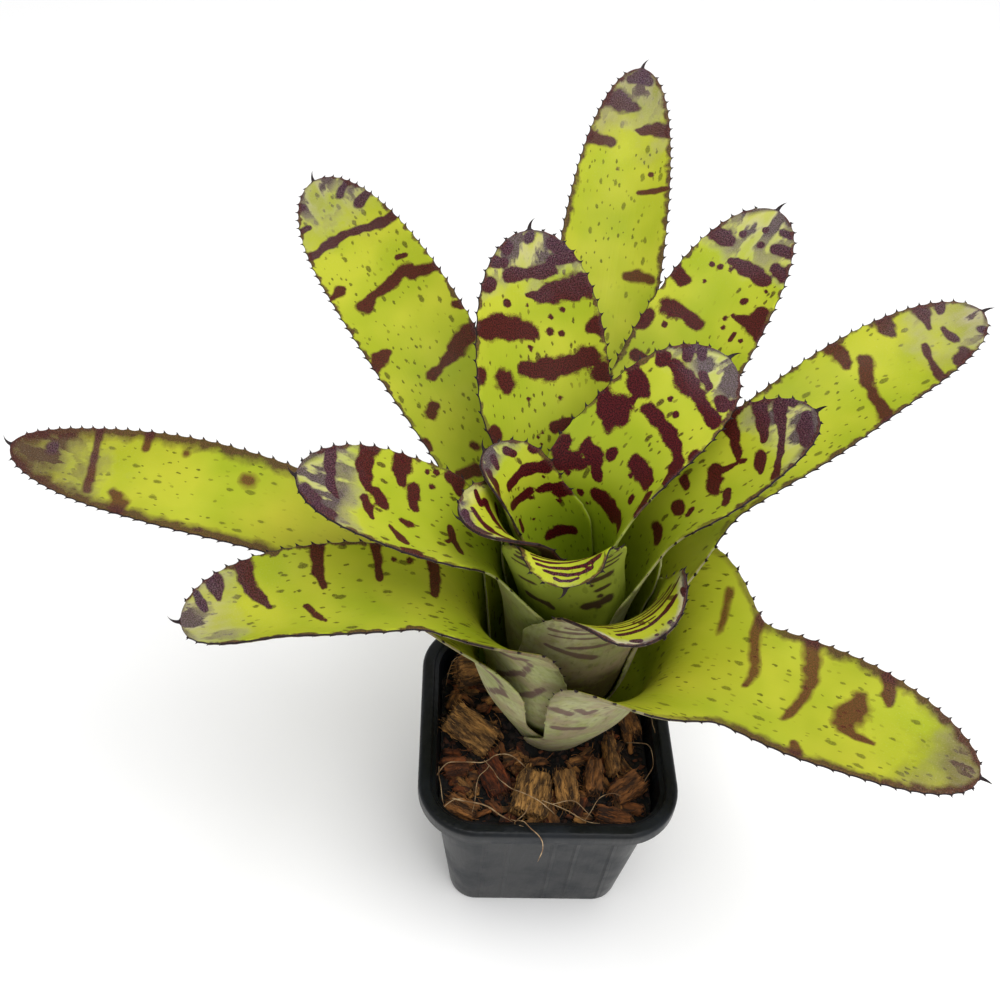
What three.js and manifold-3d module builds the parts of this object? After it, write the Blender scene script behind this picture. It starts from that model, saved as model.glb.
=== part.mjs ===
// A neoregelia bromeliad growing in a square nursery pot. Millimetres, +Z up. The origin is the
// centre of the pot's underside, and -Y is the front of the plant.

import * as THREE from "three";
import { ConvexGeometry } from "three/addons/geometries/ConvexGeometry.js";
import { mergeVertices } from "three/addons/utils/BufferGeometryUtils.js";
import Module from "manifold-3d";

// ---- Driving dimensions ----

const GAP = 0.35; // between pieces that touch

// Pot: outside widths of the rounded square at the rim, under the rim and at the foot.
const RIM_WIDTH = 90;
const RIM_CORNER = 20.6;
const RIM_FLANGE = 4.7;
const RIM_LIP = 6;
const POT_HEIGHT = 72;
const WALL_TOP_WIDTH = 80;
const FOOT_WIDTH = 64.4;
const FOOT_CORNER = 10;
const WALL = 1.1;
const FLOOR = 1.8;
const DRAIN_RADIUS = 4;
const DRAIN_RING = 21; // distance of the drain holes from the middle

// Potting mix.
const MIX_HEIGHT = 60;
const MIX_RELIEF = 1.3;

// Plant.
const AXIS = new THREE.Vector2(4, 12); // where the rosette stands in the pot
const STEM_PROFILE = [[0, 50], [12.2, 50], [12.2, 54], [2.7, 67.8], [3.3, 69], [3.3, 70.4], [0, 70.4]];
const SHEATH_BASE = { radius: 14.3, height: 56, radiusStep: -0.78, heightStep: 0.93 };
const SHEATH_BULGE = { radius: 28.5, height: 86, radiusStep: -1.36, heightStep: 1.0 };
const HEART = { rank: 11, lean: -7, from: 125, to: 170 }; // the inner leaves lean over to one side
const SHEATH_ANGLE = 1.66; // half of the arc that a sheath wraps round the plant, in radians
const WRAP = 1.25; // the same at the top of the sheath
const OUTER_OPEN = [0.5, 0.2]; // where the clasp opens out into the blade, on leaves without a collar
const INNER_OPEN = [0, 0]; // and on leaves with one
const NECK_WIDTH = 33;
const BASE_THICKNESS = 0.6;
const SHEATH_THICKNESS = 0.85;
const BLADE_THICKNESS = 1.0;

const SPINE_SPACING = { neck: 7.0, tip: 3.7 };
const SPINE_LENGTH = { neck: 1.6, tip: 1.1 };
const SPINE_ROOT = 1.4;
const POINT_LENGTH = 4.5; // the hooked point that ends each leaf
const POINT_RADIUS = 1.1;
const ROUNDING_START = 0.68; // where a blade begins to round off, as a fraction of its length
const TAPER = 2.6; // the power of its rounding

// The leaves, from the outermost inwards. Each midrib runs in the upright plane at its azimuth,
// through a shoulder, a middle and a tip, as [distance from the axis, height]. An inner leaf has
// a collar too, where its sheath ends at the wall of the tank. Wrap is half of the sheath's arc.
// The channel is the radius of the blade's trough. Twist and sweep are in degrees at the tip, and
// reach is how far the sheath turns from the blade. An outer leaf's clasp opens between two places:
// a fraction of the way from its bulge to its shoulder, and from its shoulder to its tip.
const LEAVES = [
  {
    azimuth: -31, shoulder: [41.6, 118.45], middle: [90, 129], tip: [134, 132],
    width: 46, channel: 65, neck: 42, taper: 1.8, open: [0.9, 0.25],
  },
  {
    azimuth: 171, shoulder: [41, 120.5], middle: [97, 144], tip: [198, 144],
    width: 38, channel: 51, taper: 1.7, twist: 11, sweep: -5,
  },
  {
    azimuth: 83, shoulder: [38, 124], middle: [105, 163], tip: [194, 225],
    width: 40, channel: 40, taper: 2.1, twist: -4, sweep: -2,
  },
  {
    azimuth: 197, shoulder: [38, 135], middle: [67, 146], tip: [124, 141],
    width: 37, channel: 22, neck: 29, wrap: 0.92, taper: 3.2,
    twist: 3, sweep: -5, reach: 24, open: [0.95, 0.25],
  },
  {
    azimuth: 122, shoulder: [32.65, 128.5], middle: [90, 161], tip: [184, 189],
    width: 41, channel: 45, twist: 26, open: [0, 0.05],
  },
  {
    azimuth: 32, shoulder: [33.8, 138], middle: [100, 169], tip: [163, 193],
    width: 36, channel: 30, neck: 30, twist: -15, sweep: -3,
  },
  {
    azimuth: -64, collar: [27, 134], shoulder: [30, 147], middle: [36.5, 154.5], tip: [47, 160],
    width: 52, channel: 22, neck: 48, wrap: 1.12, taper: 2.6, twist: -15,
  },
  {
    azimuth: 62, collar: [25.6, 134], shoulder: [34, 152], middle: [88, 189], tip: [124, 215],
    width: 40, channel: 42, twist: -10, sweep: -6,
  },
  {
    azimuth: 183, collar: [24, 135], shoulder: [31, 153], middle: [59, 171], tip: [86, 186],
    width: 41, channel: 44, twist: 7, sweep: 2,
  },
  {
    azimuth: 107, collar: [22.5, 137], shoulder: [29, 156], middle: [50, 181], tip: [80, 218],
    width: 46, channel: 44, sweep: -4,
  },
  {
    azimuth: 18, collar: [21, 140], shoulder: [27.5, 159], middle: [52, 178], tip: [72, 195],
    width: 37, channel: 29, twist: -5, sweep: -3,
  },
  {
    azimuth: -82, collar: [21.3, 159], shoulder: [25.5, 171.5], middle: [30.5, 176], tip: [36, 173],
    width: 40, channel: 26, neck: 38, wrap: 1.05, taper: 2.4, twist: -24, sweep: -10,
  },
  {
    azimuth: 232, collar: [18.3, 155], shoulder: [19.4, 163.5], middle: [21.8, 170], tip: [34, 177],
    width: 40, channel: 20, neck: 40, wrap: 1.8, sweep: -27,
  },
  {
    azimuth: 42, collar: [16.2, 153], shoulder: [22, 168], middle: [43.3, 186], tip: [67, 197],
    width: 40, channel: 36, neck: 44, wrap: 1.5, twist: -22, sweep: -4,
  },
  {
    azimuth: 153, collar: [14, 151], shoulder: [16, 163], middle: [18.3, 171], tip: [27, 180],
    width: 38, channel: 18, neck: 40, wrap: 1.8,
  },
];

// Chunks of coconut husk on the mix: the middle on the pot's plan, height above the mix, size
// along, across and up, and turns about Z, then Y, in degrees.
const HUSK_CHIPS = [
  { at: [-26, 28, 4], size: [13, 11, 10], turn: 20, tilt: 10 },
  { at: [-27, 1, 4], size: [19, 12, 5], turn: -32, tilt: 14 },
  { at: [-32, -13, 1], size: [9, 7, 6], turn: 10, tilt: 0 },
  { at: [-18, -17, 1], size: [9, 13, 6], turn: 25, tilt: -12 },
  { at: [-5, -24, 3], size: [13, 17, 6], turn: -12, tilt: 16 },
  { at: [7, -22, 3], size: [8, 13, 6], turn: 5, tilt: -8 },
  { at: [17, -17, 2], size: [6, 13, 7], turn: -8, tilt: 6 },
  { at: [24, -8, 3], size: [3.4, 15, 6], turn: 4, tilt: 18 },
  { at: [29, -21, 2], size: [12, 8, 6], turn: 35, tilt: -10 },
  { at: [23, -32, 1], size: [12, 7, 6], turn: -6, tilt: 8 },
  { at: [32, 8, 2], size: [7, 13, 5], turn: 14, tilt: -20 },
  { at: [-30, -29, 1], size: [11, 7, 5], turn: -24, tilt: 6 },
];

const COLOURS = {
  pot: 0x2b2d2f,
  mix: 0x2a1c14,
  chip: 0x9a6a3c,
  oldLeaf: 0xb4bd3a,
  youngLeaf: 0xbfd23a,
};

// ---- Small helpers ----

const wasm = await Module();
wasm.setup();

const clamp01 = (x) => Math.min(Math.max(x, 0), 1);
const mix = (a, b, x) => a + (b - a) * x;

function smooth(from, to, x) {
  const s = clamp01((x - from) / (to - from));
  return s * s * (3 - 2 * s);
}

// A repeatable random number from 0 to 1 for each seed.
function random(seed) {
  const s = Math.sin(seed * 12.9898 + 4.1414) * 43758.5453;
  return s - Math.floor(s);
}

function geometryFrom(points, triangles) {
  const geometry = new THREE.BufferGeometry().setFromPoints(points);
  geometry.setIndex(triangles);
  return geometry;
}

function solid(geometry) {
  const bare = geometry.clone();
  bare.deleteAttribute("normal");
  bare.deleteAttribute("uv");
  const merged = mergeVertices(bare, 1e-4);
  return new wasm.Manifold(
    new wasm.Mesh({
      numProp: 3,
      vertProperties: merged.attributes.position.array,
      triVerts: new Uint32Array(merged.index.array),
    }),
  );
}

function geometryOf(manifold) {
  const { vertProperties, triVerts } = manifold.getMesh();
  const geometry = new THREE.BufferGeometry();
  geometry.setAttribute("position", new THREE.BufferAttribute(vertProperties, 3));
  geometry.setIndex([...triVerts]);
  return geometry;
}

function piece(name, geometry, colour, roughness) {
  const flat = geometry.index ? geometry.toNonIndexed() : geometry;
  flat.computeVertexNormals();
  const material = new THREE.MeshStandardMaterial({ color: colour, roughness, metalness: 0 });
  const mesh = new THREE.Mesh(flat, material);
  mesh.name = name;
  return mesh;
}

// ---- Pot ----

const CORNER_STEPS = 4;

// The outline of a rounded square, counter-clockwise.
function roundedSquare(width, corner, z) {
  const points = [];
  for (let side = 0; side < 4; side++)
    for (let i = 0; i <= CORNER_STEPS; i++) {
      const turn = (side + i / CORNER_STEPS) * (Math.PI / 2);
      const inset = width / 2 - corner;
      const centre = side * (Math.PI / 2) + Math.PI / 4;
      const x = Math.sign(Math.cos(centre)) * inset + corner * Math.cos(turn);
      const y = Math.sign(Math.sin(centre)) * inset + corner * Math.sin(turn);
      points.push(new THREE.Vector3(x, y, z));
    }
  return points;
}

// A closed body through a stack of outlines with equal counts, its ends closed by fans.
function loft(rings, bottomCentre, topCentre) {
  const points = rings.flat();
  const count = rings[0].length;
  const triangles = [];
  for (let r = 0; r + 1 < rings.length; r++)
    for (let i = 0; i < count; i++) {
      const j = (i + 1) % count;
      const [a, b] = [r * count + i, r * count + j];
      triangles.push(a, b, b + count, a, b + count, a + count);
    }
  const bottom = points.push(bottomCentre) - 1;
  const top = points.push(topCentre) - 1;
  const last = (rings.length - 1) * count;
  for (let i = 0; i < count; i++) {
    const j = (i + 1) % count;
    triangles.push(bottom, j, i, top, last + i, last + j);
  }
  return geometryFrom(points, triangles);
}

function wallWidth(z) {
  return mix(FOOT_WIDTH, WALL_TOP_WIDTH, z / (POT_HEIGHT - RIM_LIP / 3));
}

function wallCorner(z) {
  return mix(FOOT_CORNER, RIM_CORNER - 5, z / POT_HEIGHT);
}

function innerRing(z, inset) {
  return roundedSquare(wallWidth(z) - 2 * inset, wallCorner(z) - inset, z);
}

function pot() {
  const underRim = POT_HEIGHT - 1.9;
  const lipWall = 1.3;
  const rings = [
    roundedSquare(FOOT_WIDTH, FOOT_CORNER, 0),
    innerRing(underRim, 0),
    roundedSquare(RIM_WIDTH - 2 * lipWall, RIM_CORNER - lipWall, underRim),
    roundedSquare(RIM_WIDTH - 2 * lipWall, RIM_CORNER - lipWall, POT_HEIGHT - RIM_LIP),
    roundedSquare(RIM_WIDTH, RIM_CORNER, POT_HEIGHT - RIM_LIP),
    roundedSquare(RIM_WIDTH, RIM_CORNER, POT_HEIGHT - 0.9),
    roundedSquare(RIM_WIDTH - 1.4, RIM_CORNER - 0.7, POT_HEIGHT),
    roundedSquare(RIM_WIDTH - 2 * RIM_FLANGE, RIM_CORNER - RIM_FLANGE, POT_HEIGHT),
    innerRing(POT_HEIGHT - 2.2, WALL),
    innerRing(FLOOR, WALL),
  ];
  const shell = loft(rings, new THREE.Vector3(0, 0, 0), new THREE.Vector3(0, 0, FLOOR));
  let body = solid(shell);
  for (let i = 0; i < 4; i++) {
    const hole = new THREE.CylinderGeometry(DRAIN_RADIUS, DRAIN_RADIUS, 4 * FLOOR, 12);
    const turn = (i * Math.PI) / 2;
    hole.rotateX(Math.PI / 2).translate(DRAIN_RING * Math.cos(turn), DRAIN_RING * Math.sin(turn), 0);
    body = body.subtract(solid(hole));
  }
  return piece("pot", geometryOf(body), COLOURS.pot, 0.55);
}

// ---- Leaves ----

function leafCurve(leaf, rank) {
  const base = [
    SHEATH_BASE.radius + rank * SHEATH_BASE.radiusStep,
    SHEATH_BASE.height + rank * SHEATH_BASE.heightStep,
  ];
  const bulge = [
    SHEATH_BULGE.radius + rank * SHEATH_BULGE.radiusStep,
    SHEATH_BULGE.height + rank * SHEATH_BULGE.heightStep,
  ];
  const sheath = leaf.collar ? [base, bulge, leaf.collar] : [base, bulge];
  const stations = [...sheath, leaf.shoulder, leaf.middle, leaf.tip];
  const curve = new THREE.CatmullRomCurve3(stations.map(([r, z]) => new THREE.Vector3(r, 0, z)));
  const divisions = 100 * (stations.length - 1);
  curve.arcLengthDivisions = divisions;
  const lengths = curve.getLengths();
  const sheathEnd = lengths[100 * (sheath.length - 1)] / lengths[divisions];
  const bladeStart = lengths[100 * sheath.length] / lengths[divisions];
  const lean = rank < HEART.rank ? 0 : HEART.lean;
  return { curve, sheathEnd, bladeStart, shoulder: leaf.shoulder[0], lean };
}

// The leaf's half width, the radius of its trough and its frame at a fraction t of its length.
function leafSection(leaf, path, t) {
  const { sheathEnd, bladeStart } = path;
  const midrib = path.curve.getPointAt(t);
  const slope = path.curve.getTangentAt(t);
  const radius = midrib.x;
  const wrap = mix(SHEATH_ANGLE, leaf.wrap ?? WRAP, smooth(0.3 * sheathEnd, sheathEnd, t));
  const [openFrom, openTo] = leaf.open ?? (leaf.collar ? INNER_OPEN : OUTER_OPEN);
  const opening = smooth(mix(sheathEnd, bladeStart, openFrom), mix(bladeStart, 1, openTo), t);
  const along = clamp01((t - ROUNDING_START) / (1 - ROUNDING_START));
  const rounding = Math.sqrt(1 - Math.pow(along, leaf.taper ?? TAPER));
  const widest = Math.max(ROUNDING_START, bladeStart + 0.1);
  const bladeWidth = mix(leaf.neck ?? NECK_WIDTH, leaf.width, smooth(bladeStart, widest, t)) * rounding;
  const clasp = Math.min(radius, path.shoulder) * wrap;
  const half = mix(clasp, Math.max(bladeWidth / 2, POINT_RADIUS), opening);
  const trough = mix(radius, leaf.channel, smooth(bladeStart, mix(bladeStart, 1, 0.7), t));

  const reach = (leaf.reach ?? 0) * (1 - smooth(sheathEnd, mix(bladeStart, 1, 0.3), t));
  const turn = THREE.MathUtils.degToRad(leaf.azimuth + reach + (leaf.sweep ?? 0) * t * t);
  const outward = new THREE.Vector3(Math.cos(turn), Math.sin(turn), 0);
  const centre = outward.clone().multiplyScalar(radius);
  const lean = path.lean * smooth(HEART.from, HEART.to, midrib.z);
  centre.add(new THREE.Vector3(AXIS.x + lean, AXIS.y, midrib.z));
  const across = new THREE.Vector3(Math.sin(turn), -Math.cos(turn), 0);
  // In the sheath the trough faces the plant's axis, and in the blade it faces square off the midrib.
  const square = smooth(sheathEnd, mix(bladeStart, 1, 0.2), t);
  const inward = outward.clone().multiplyScalar(mix(-1, -slope.z, square));
  inward.z = slope.x * square;
  inward.normalize();
  const twist = THREE.MathUtils.degToRad(leaf.twist ?? 0) * smooth(bladeStart, 1, t);
  const forward = new THREE.Vector3().crossVectors(inward, across);
  across.applyAxisAngle(forward, -twist);
  inward.applyAxisAngle(forward, -twist);
  const sheathThickness = mix(BASE_THICKNESS, SHEATH_THICKNESS, smooth(0, sheathEnd, t));
  const thickness = mix(sheathThickness, BLADE_THICKNESS, square);
  return { half, trough, centre, across, inward, forward, thickness };
}

// A point of the leaf: side runs from -1 to 1 across it, and lift from -1 on the outer face to 1
// on the inner face.
function leafPoint(section, side, lift, beyond = 0) {
  const { half, trough, centre, across, inward, thickness } = section;
  const angle = (side * half) / trough;
  const depth = trough - (lift * thickness) / 2;
  const point = centre.clone();
  point.addScaledVector(across, depth * Math.sin(angle));
  point.addScaledVector(inward, trough - depth * Math.cos(angle));
  const edge = across.clone().multiplyScalar(Math.cos(angle));
  edge.addScaledVector(inward, Math.sin(angle)).multiplyScalar(Math.sign(side));
  return point.addScaledVector(edge, beyond);
}

// The spines' places along a margin: each has the t of its start, its end and its height.
function spinePlaces(leaf, path) {
  const steps = 1200;
  const start = mix(path.sheathEnd, path.bladeStart, 0.3);
  const margin = [0];
  const at = (i) => mix(start, 1, i / steps);
  let previous = leafPoint(leafSection(leaf, path, at(0)), 1, 0);
  for (let i = 1; i <= steps; i++) {
    const next = leafPoint(leafSection(leaf, path, at(i)), 1, 0);
    margin.push(margin[i - 1] + next.distanceTo(previous));
    previous = next;
  }
  const length = margin[steps];
  const tAt = (distance) => {
    const i = margin.findIndex((d) => d >= distance);
    return at(i < 0 ? steps : i);
  };
  const spines = [];
  let distance = SPINE_SPACING.neck / 2;
  while (distance < length - 2.2) {
    const along = distance / length;
    const root = SPINE_ROOT / 2;
    const spine = { from: tAt(distance - root), to: tAt(distance + root) };
    spine.length = mix(SPINE_LENGTH.neck, SPINE_LENGTH.tip, along);
    spines.push(spine);
    distance += mix(SPINE_SPACING.neck, SPINE_SPACING.tip, along);
  }
  return spines;
}

// The rows of points across the leaf, from its base to its tip: each has its t and the number of
// steps across. Rows in the blade lie in every third gap between spines.
function leafRows(leaf, path, spines) {
  const rows = [];
  const firstSpine = spines[0].from - 0.01;
  const sheathRows = leaf.collar ? 7 : 6;
  for (let i = 0; i < sheathRows; i++)
    rows.push({ t: (firstSpine * i) / (sheathRows - 1), steps: 10 });
  for (let i = 1; i + 1 < spines.length; i += 3) {
    const t = (spines[i].to + spines[i + 1].from) / 2;
    const { half, trough } = leafSection(leaf, path, t);
    rows.push({ t, steps: half / trough > 0.9 ? 8 : half / trough > 0.6 ? 6 : 4 });
  }
  rows.push({ t: 1, steps: 2 });
  return rows;
}

function leafGeometry(leaf, rank) {
  const path = leafCurve(leaf, rank);
  const spines = spinePlaces(leaf, path);
  const rows = leafRows(leaf, path, spines);
  const points = [];
  const triangles = [];
  const face = (a, b, c) => triangles.push(a, b, c);

  // A vertex is a pair: its even index is on the inner face, and the next is on the outer face.
  const vertex = (t, side) => {
    const section = leafSection(leaf, path, t);
    points.push(leafPoint(section, side, 1), leafPoint(section, side, -1));
    return points.length - 2;
  };
  const bothFaces = (a, b, c) => {
    face(a, b, c);
    face(a + 1, c + 1, b + 1);
  };

  for (const row of rows) {
    row.vertices = [];
    for (let i = 0; i <= row.steps; i++) row.vertices.push(vertex(row.t, (2 * i) / row.steps - 1));
  }

  // Between the inner points of two rows, a zip of triangles.
  const zip = (near, far) => {
    let [i, j] = [1, 1];
    const lastNear = near.steps - 1;
    const lastFar = far.steps - 1;
    while (i < lastNear || j < lastFar) {
      const nearNext = (i + 1) / near.steps;
      const farNext = (j + 1) / far.steps;
      const stepNear = j === lastFar || (i < lastNear && nearNext <= farNext);
      if (stepNear) bothFaces(near.vertices[i], near.vertices[i + 1], far.vertices[j]);
      else bothFaces(near.vertices[i], far.vertices[j + 1], far.vertices[j]);
      if (stepNear) i++;
      else j++;
    }
  };

  // Along a margin between two rows: a fan to the inner points, the edge, and its spines.
  const margin = (near, far, side) => {
    const end = side < 0 ? 0 : near.steps;
    const farEnd = side < 0 ? 0 : far.steps;
    const inner = near.vertices[end - side];
    const farInner = far.vertices[farEnd - side];
    const line = [{ vertex: near.vertices[end], t: near.t }];
    for (const spine of spines)
      if (spine.from > near.t && spine.to < far.t) {
        line.push({ vertex: vertex(spine.from, side), t: spine.from, spine });
        line.push({ vertex: vertex(spine.to, side), t: spine.to });
      }
    line.push({ vertex: far.vertices[farEnd], t: far.t });
    const turned = (a, b, c) => (side < 0 ? bothFaces(a, b, c) : bothFaces(a, c, b));
    const middle = (near.t + far.t) / 2;
    const split = Math.min(line.findIndex((p) => p.t >= middle), line.length - 1);
    for (let k = 0; k + 1 < line.length; k++) {
      if (k === split) turned(inner, farInner, line[k].vertex);
      turned(k < split ? inner : farInner, line[k + 1].vertex, line[k].vertex);
    }
    if (split === line.length - 1) turned(inner, farInner, line[split].vertex);
    for (let k = 0; k + 1 < line.length; k++) {
      const [a, b] = [line[k].vertex, line[k + 1].vertex];
      const outward = (p, q, r) => (side < 0 ? face(p, q, r) : face(p, r, q));
      if (line[k].spine) {
        const { from, to, length } = line[k].spine;
        const section = leafSection(leaf, path, mix(from, to, 0.5));
        const apex = leafPoint(section, side, 0, length);
        apex.addScaledVector(section.forward, 0.45 * length);
        const p = points.push(apex) - 1;
        outward(a, b, p);
        outward(b, b + 1, p);
        outward(b + 1, a + 1, p);
        outward(a + 1, a, p);
      } else {
        outward(a, b, b + 1);
        outward(a, b + 1, a + 1);
      }
    }
  };

  for (let r = 0; r + 1 < rows.length; r++) {
    zip(rows[r], rows[r + 1]);
    margin(rows[r], rows[r + 1], -1);
    margin(rows[r], rows[r + 1], 1);
  }

  // The cut edge at the base.
  const first = rows[0].vertices;
  for (let i = 0; i + 1 < first.length; i++) {
    face(first[i], first[i] + 1, first[i + 1]);
    face(first[i + 1], first[i] + 1, first[i + 1] + 1);
  }

  // The hooked point, from the last row to its apex.
  const last = rows[rows.length - 1].vertices;
  const ring = [...last, ...last.map((v) => v + 1).reverse()];
  const tip = leafSection(leaf, path, 1);
  const collarCentre = tip.centre.clone().addScaledVector(tip.forward, 0.5 * POINT_LENGTH);
  const collar = ring.map((v) => {
    const offset = points[v].clone().sub(tip.centre).multiplyScalar(0.55);
    return points.push(collarCentre.clone().add(offset)) - 1;
  });
  const apex = tip.centre.clone().addScaledVector(tip.forward, 0.85 * POINT_LENGTH);
  apex.addScaledVector(tip.inward, 0.4 * POINT_LENGTH).addScaledVector(tip.across, 0.2 * POINT_LENGTH);
  const apexAt = points.push(apex) - 1;
  for (let i = 0; i < ring.length; i++) {
    const j = (i + 1) % ring.length;
    face(ring[i], ring[j], collar[j]);
    face(ring[i], collar[j], collar[i]);
    face(collar[i], collar[j], apexAt);
  }
  return geometryFrom(points, triangles);
}

// The short stem that every leaf grows from.
function stem() {
  const profile = STEM_PROFILE.map(([r, z]) => new THREE.Vector2(r, z));
  return new THREE.LatheGeometry(profile, 14).rotateX(Math.PI / 2).translate(AXIS.x, AXIS.y, 0);
}

function leafPiece(leaf, rank) {
  let geometry = leafGeometry(leaf, rank);
  if (rank === LEAVES.length - 1) geometry = geometryOf(solid(geometry).add(solid(stem())));
  const name = `leaf_${String(rank + 1).padStart(2, "0")}`;
  return piece(name, geometry, rank < 4 ? COLOURS.oldLeaf : COLOURS.youngLeaf, 0.45);
}

// ---- Potting mix and husk chips ----

// A chunk with its corners knocked in, as much larger on all sides as margin says.
function chipGeometry(chip, index, margin) {
  const points = [];
  for (let corner = 0; corner < 8; corner++)
    for (let k = 0; k < 2; k++) {
      const seed = index * 31 + corner * 3 + k;
      const signs = [corner & 1, corner & 2, corner & 4].map((bit) => (bit ? 0.5 : -0.5));
      const knocked = signs.map((sign, axis) => {
        const inset = 0.42 * random(seed + 100 * axis) * (k === axis ? 1 : 0.35);
        return sign * (1 - inset) * chip.size[axis] + Math.sign(sign) * margin;
      });
      points.push(new THREE.Vector3(...knocked));
    }
  const [x, y, rise] = chip.at;
  return new ConvexGeometry(points)
    .rotateY(THREE.MathUtils.degToRad(chip.tilt))
    .rotateZ(THREE.MathUtils.degToRad(chip.turn))
    .translate(x, y, MIX_HEIGHT + rise);
}

// The space that the foot of the rosette takes up in the mix.
function rosettePocket() {
  const { curve } = leafCurve(LEAVES[0], 0);
  const clear = SHEATH_THICKNESS / 2 + GAP;
  const below = STEM_PROFILE[0][1] - GAP;
  const outer = STEM_PROFILE[1][0] + GAP;
  const profile = [[0, below], [outer, below]];
  for (let i = 0; i <= 4; i++) {
    const point = curve.getPoint(i * 0.05);
    const slope = curve.getTangent(i * 0.05);
    profile.push([point.x + clear * slope.z, point.z - clear * slope.x]);
  }
  profile.push([0, profile[profile.length - 1][1]]);
  const lathe = new THREE.LatheGeometry(profile.map(([r, z]) => new THREE.Vector2(r, z)), 24);
  return lathe.rotateX(Math.PI / 2).translate(AXIS.x, AXIS.y, 0);
}

function pottingMix() {
  const edge = WALL + GAP;
  const top = innerRing(MIX_HEIGHT, edge);
  const rings = [innerRing(FLOOR + GAP, edge), top];
  for (const [layer, scale] of [0.84, 0.66, 0.48, 0.3].entries())
    rings.push(
      top.map((p, i) => {
        const relief = MIX_RELIEF * (2 * random(layer * 40 + i) - 1);
        return new THREE.Vector3(p.x * scale, p.y * scale, MIX_HEIGHT + relief);
      }),
    );
  const bottomCentre = new THREE.Vector3(0, 0, FLOOR + GAP);
  const shape = loft(rings, bottomCentre, new THREE.Vector3(0, 0, MIX_HEIGHT));
  let body = solid(shape).subtract(solid(rosettePocket()));
  HUSK_CHIPS.forEach((chip, i) => {
    body = body.subtract(solid(chipGeometry(chip, i, GAP)));
  });
  return piece("potting_mix", geometryOf(body), COLOURS.mix, 0.95);
}

function huskChip(chip, index) {
  const name = `husk_chip_${String(index + 1).padStart(2, "0")}`;
  return piece(name, chipGeometry(chip, index, 0), COLOURS.chip, 0.9);
}

// ---- Assembly ----

const plant = new THREE.Group();
LEAVES.forEach((leaf, rank) => plant.add(leafPiece(leaf, rank)));

const bromeliad = new THREE.Group();
bromeliad.add(pot(), pottingMix(), ...HUSK_CHIPS.map(huskChip), plant);

export default bromeliad;
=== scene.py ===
# A neoregelia bromeliad growing in a square nursery pot. The frame is in metres, +Z up, with its
# origin at the centre of the pot's underside. Sizes below are in millimetres, scaled by MM.
import math
import random
from types import SimpleNamespace

import bmesh
import bpy
import numpy as np
from mathutils import Matrix, Vector


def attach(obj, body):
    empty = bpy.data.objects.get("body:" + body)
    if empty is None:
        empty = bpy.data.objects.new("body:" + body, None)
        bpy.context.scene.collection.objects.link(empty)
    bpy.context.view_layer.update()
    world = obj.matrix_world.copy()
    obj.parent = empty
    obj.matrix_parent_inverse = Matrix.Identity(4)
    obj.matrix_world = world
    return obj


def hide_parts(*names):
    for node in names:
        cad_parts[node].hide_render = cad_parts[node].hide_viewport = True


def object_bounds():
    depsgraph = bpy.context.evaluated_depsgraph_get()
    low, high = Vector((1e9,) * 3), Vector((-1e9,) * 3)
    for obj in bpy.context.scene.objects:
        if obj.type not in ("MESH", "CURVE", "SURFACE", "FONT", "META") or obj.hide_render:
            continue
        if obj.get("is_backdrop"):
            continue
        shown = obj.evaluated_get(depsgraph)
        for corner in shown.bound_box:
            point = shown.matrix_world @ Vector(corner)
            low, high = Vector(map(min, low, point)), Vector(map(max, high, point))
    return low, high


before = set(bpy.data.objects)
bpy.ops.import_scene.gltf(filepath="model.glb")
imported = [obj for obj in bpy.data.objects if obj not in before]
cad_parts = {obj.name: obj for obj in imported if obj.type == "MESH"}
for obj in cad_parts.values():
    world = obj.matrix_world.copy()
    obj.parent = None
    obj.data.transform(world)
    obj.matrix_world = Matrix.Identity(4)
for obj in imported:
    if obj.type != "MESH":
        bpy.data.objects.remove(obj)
cad_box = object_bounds()
MM = 0.001

# ---- Camera ----
# A close view of the plant from its front and a little to the left, looking down at 44 degrees.
# The lens sees 49 degrees across the square picture.
STANDPOINT = (-39.4, -226.4, 405.1)
SIGHT = Vector((0.05187, 0.71297, -0.69927))
SIDEWAYS = Vector((0.99819, -0.01560, 0.05813))
UPWARD = Vector((-0.03053, 0.70102, 0.71249))


def stand(name, data):
    """An object in the scene for a mesh, a lamp or a camera."""
    thing = bpy.data.objects.new(name, data)
    bpy.context.collection.objects.link(thing)
    return thing


lens = bpy.data.cameras.new("camera")
lens.sensor_width = 36
lens.lens = 39.6
lens.clip_start = 0.01
camera = stand("camera", lens)
turned = Matrix((SIDEWAYS, UPWARD, -SIGHT)).transposed().to_4x4()
camera.matrix_world = Matrix.Translation(Vector(STANDPOINT) * MM) @ turned
bpy.context.scene.camera = camera

# ---- Pot ----
# A square nursery pot, vacuum formed from thin black polypropylene. Its walls draft in to a
# flat foot with drain holes, and the rim is folded out and down into a stiff lip.
RIM_WIDTH, RIM_CORNER, RIM_FLANGE, RIM_LIP = 90, 20.6, 4.7, 6
POT_HEIGHT = 72
OUTER_ROLL, INNER_ROLL, LIP_WALL, UNDER_RIM = 1.4, 1.2, 1.3, POT_HEIGHT - 1.9
WALL_TOP_WIDTH, FOOT_WIDTH, FOOT_CORNER = 80, 64.4, 10
WALL, FLOOR = 1.1, 1.8
DRAIN_RADIUS, DRAIN_RING = 4, 21
# Creases drawn down the walls: the axis each one is counted along, and its place on that axis.
CREASES = ((0, -21), (0, -13), (0, 3), (0, 11), (0, 24), (1, -17), (1, 6), (1, 20))
CREASE_HALF = 1.1


def mix(a, b, x):
    return a + (b - a) * x


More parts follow.
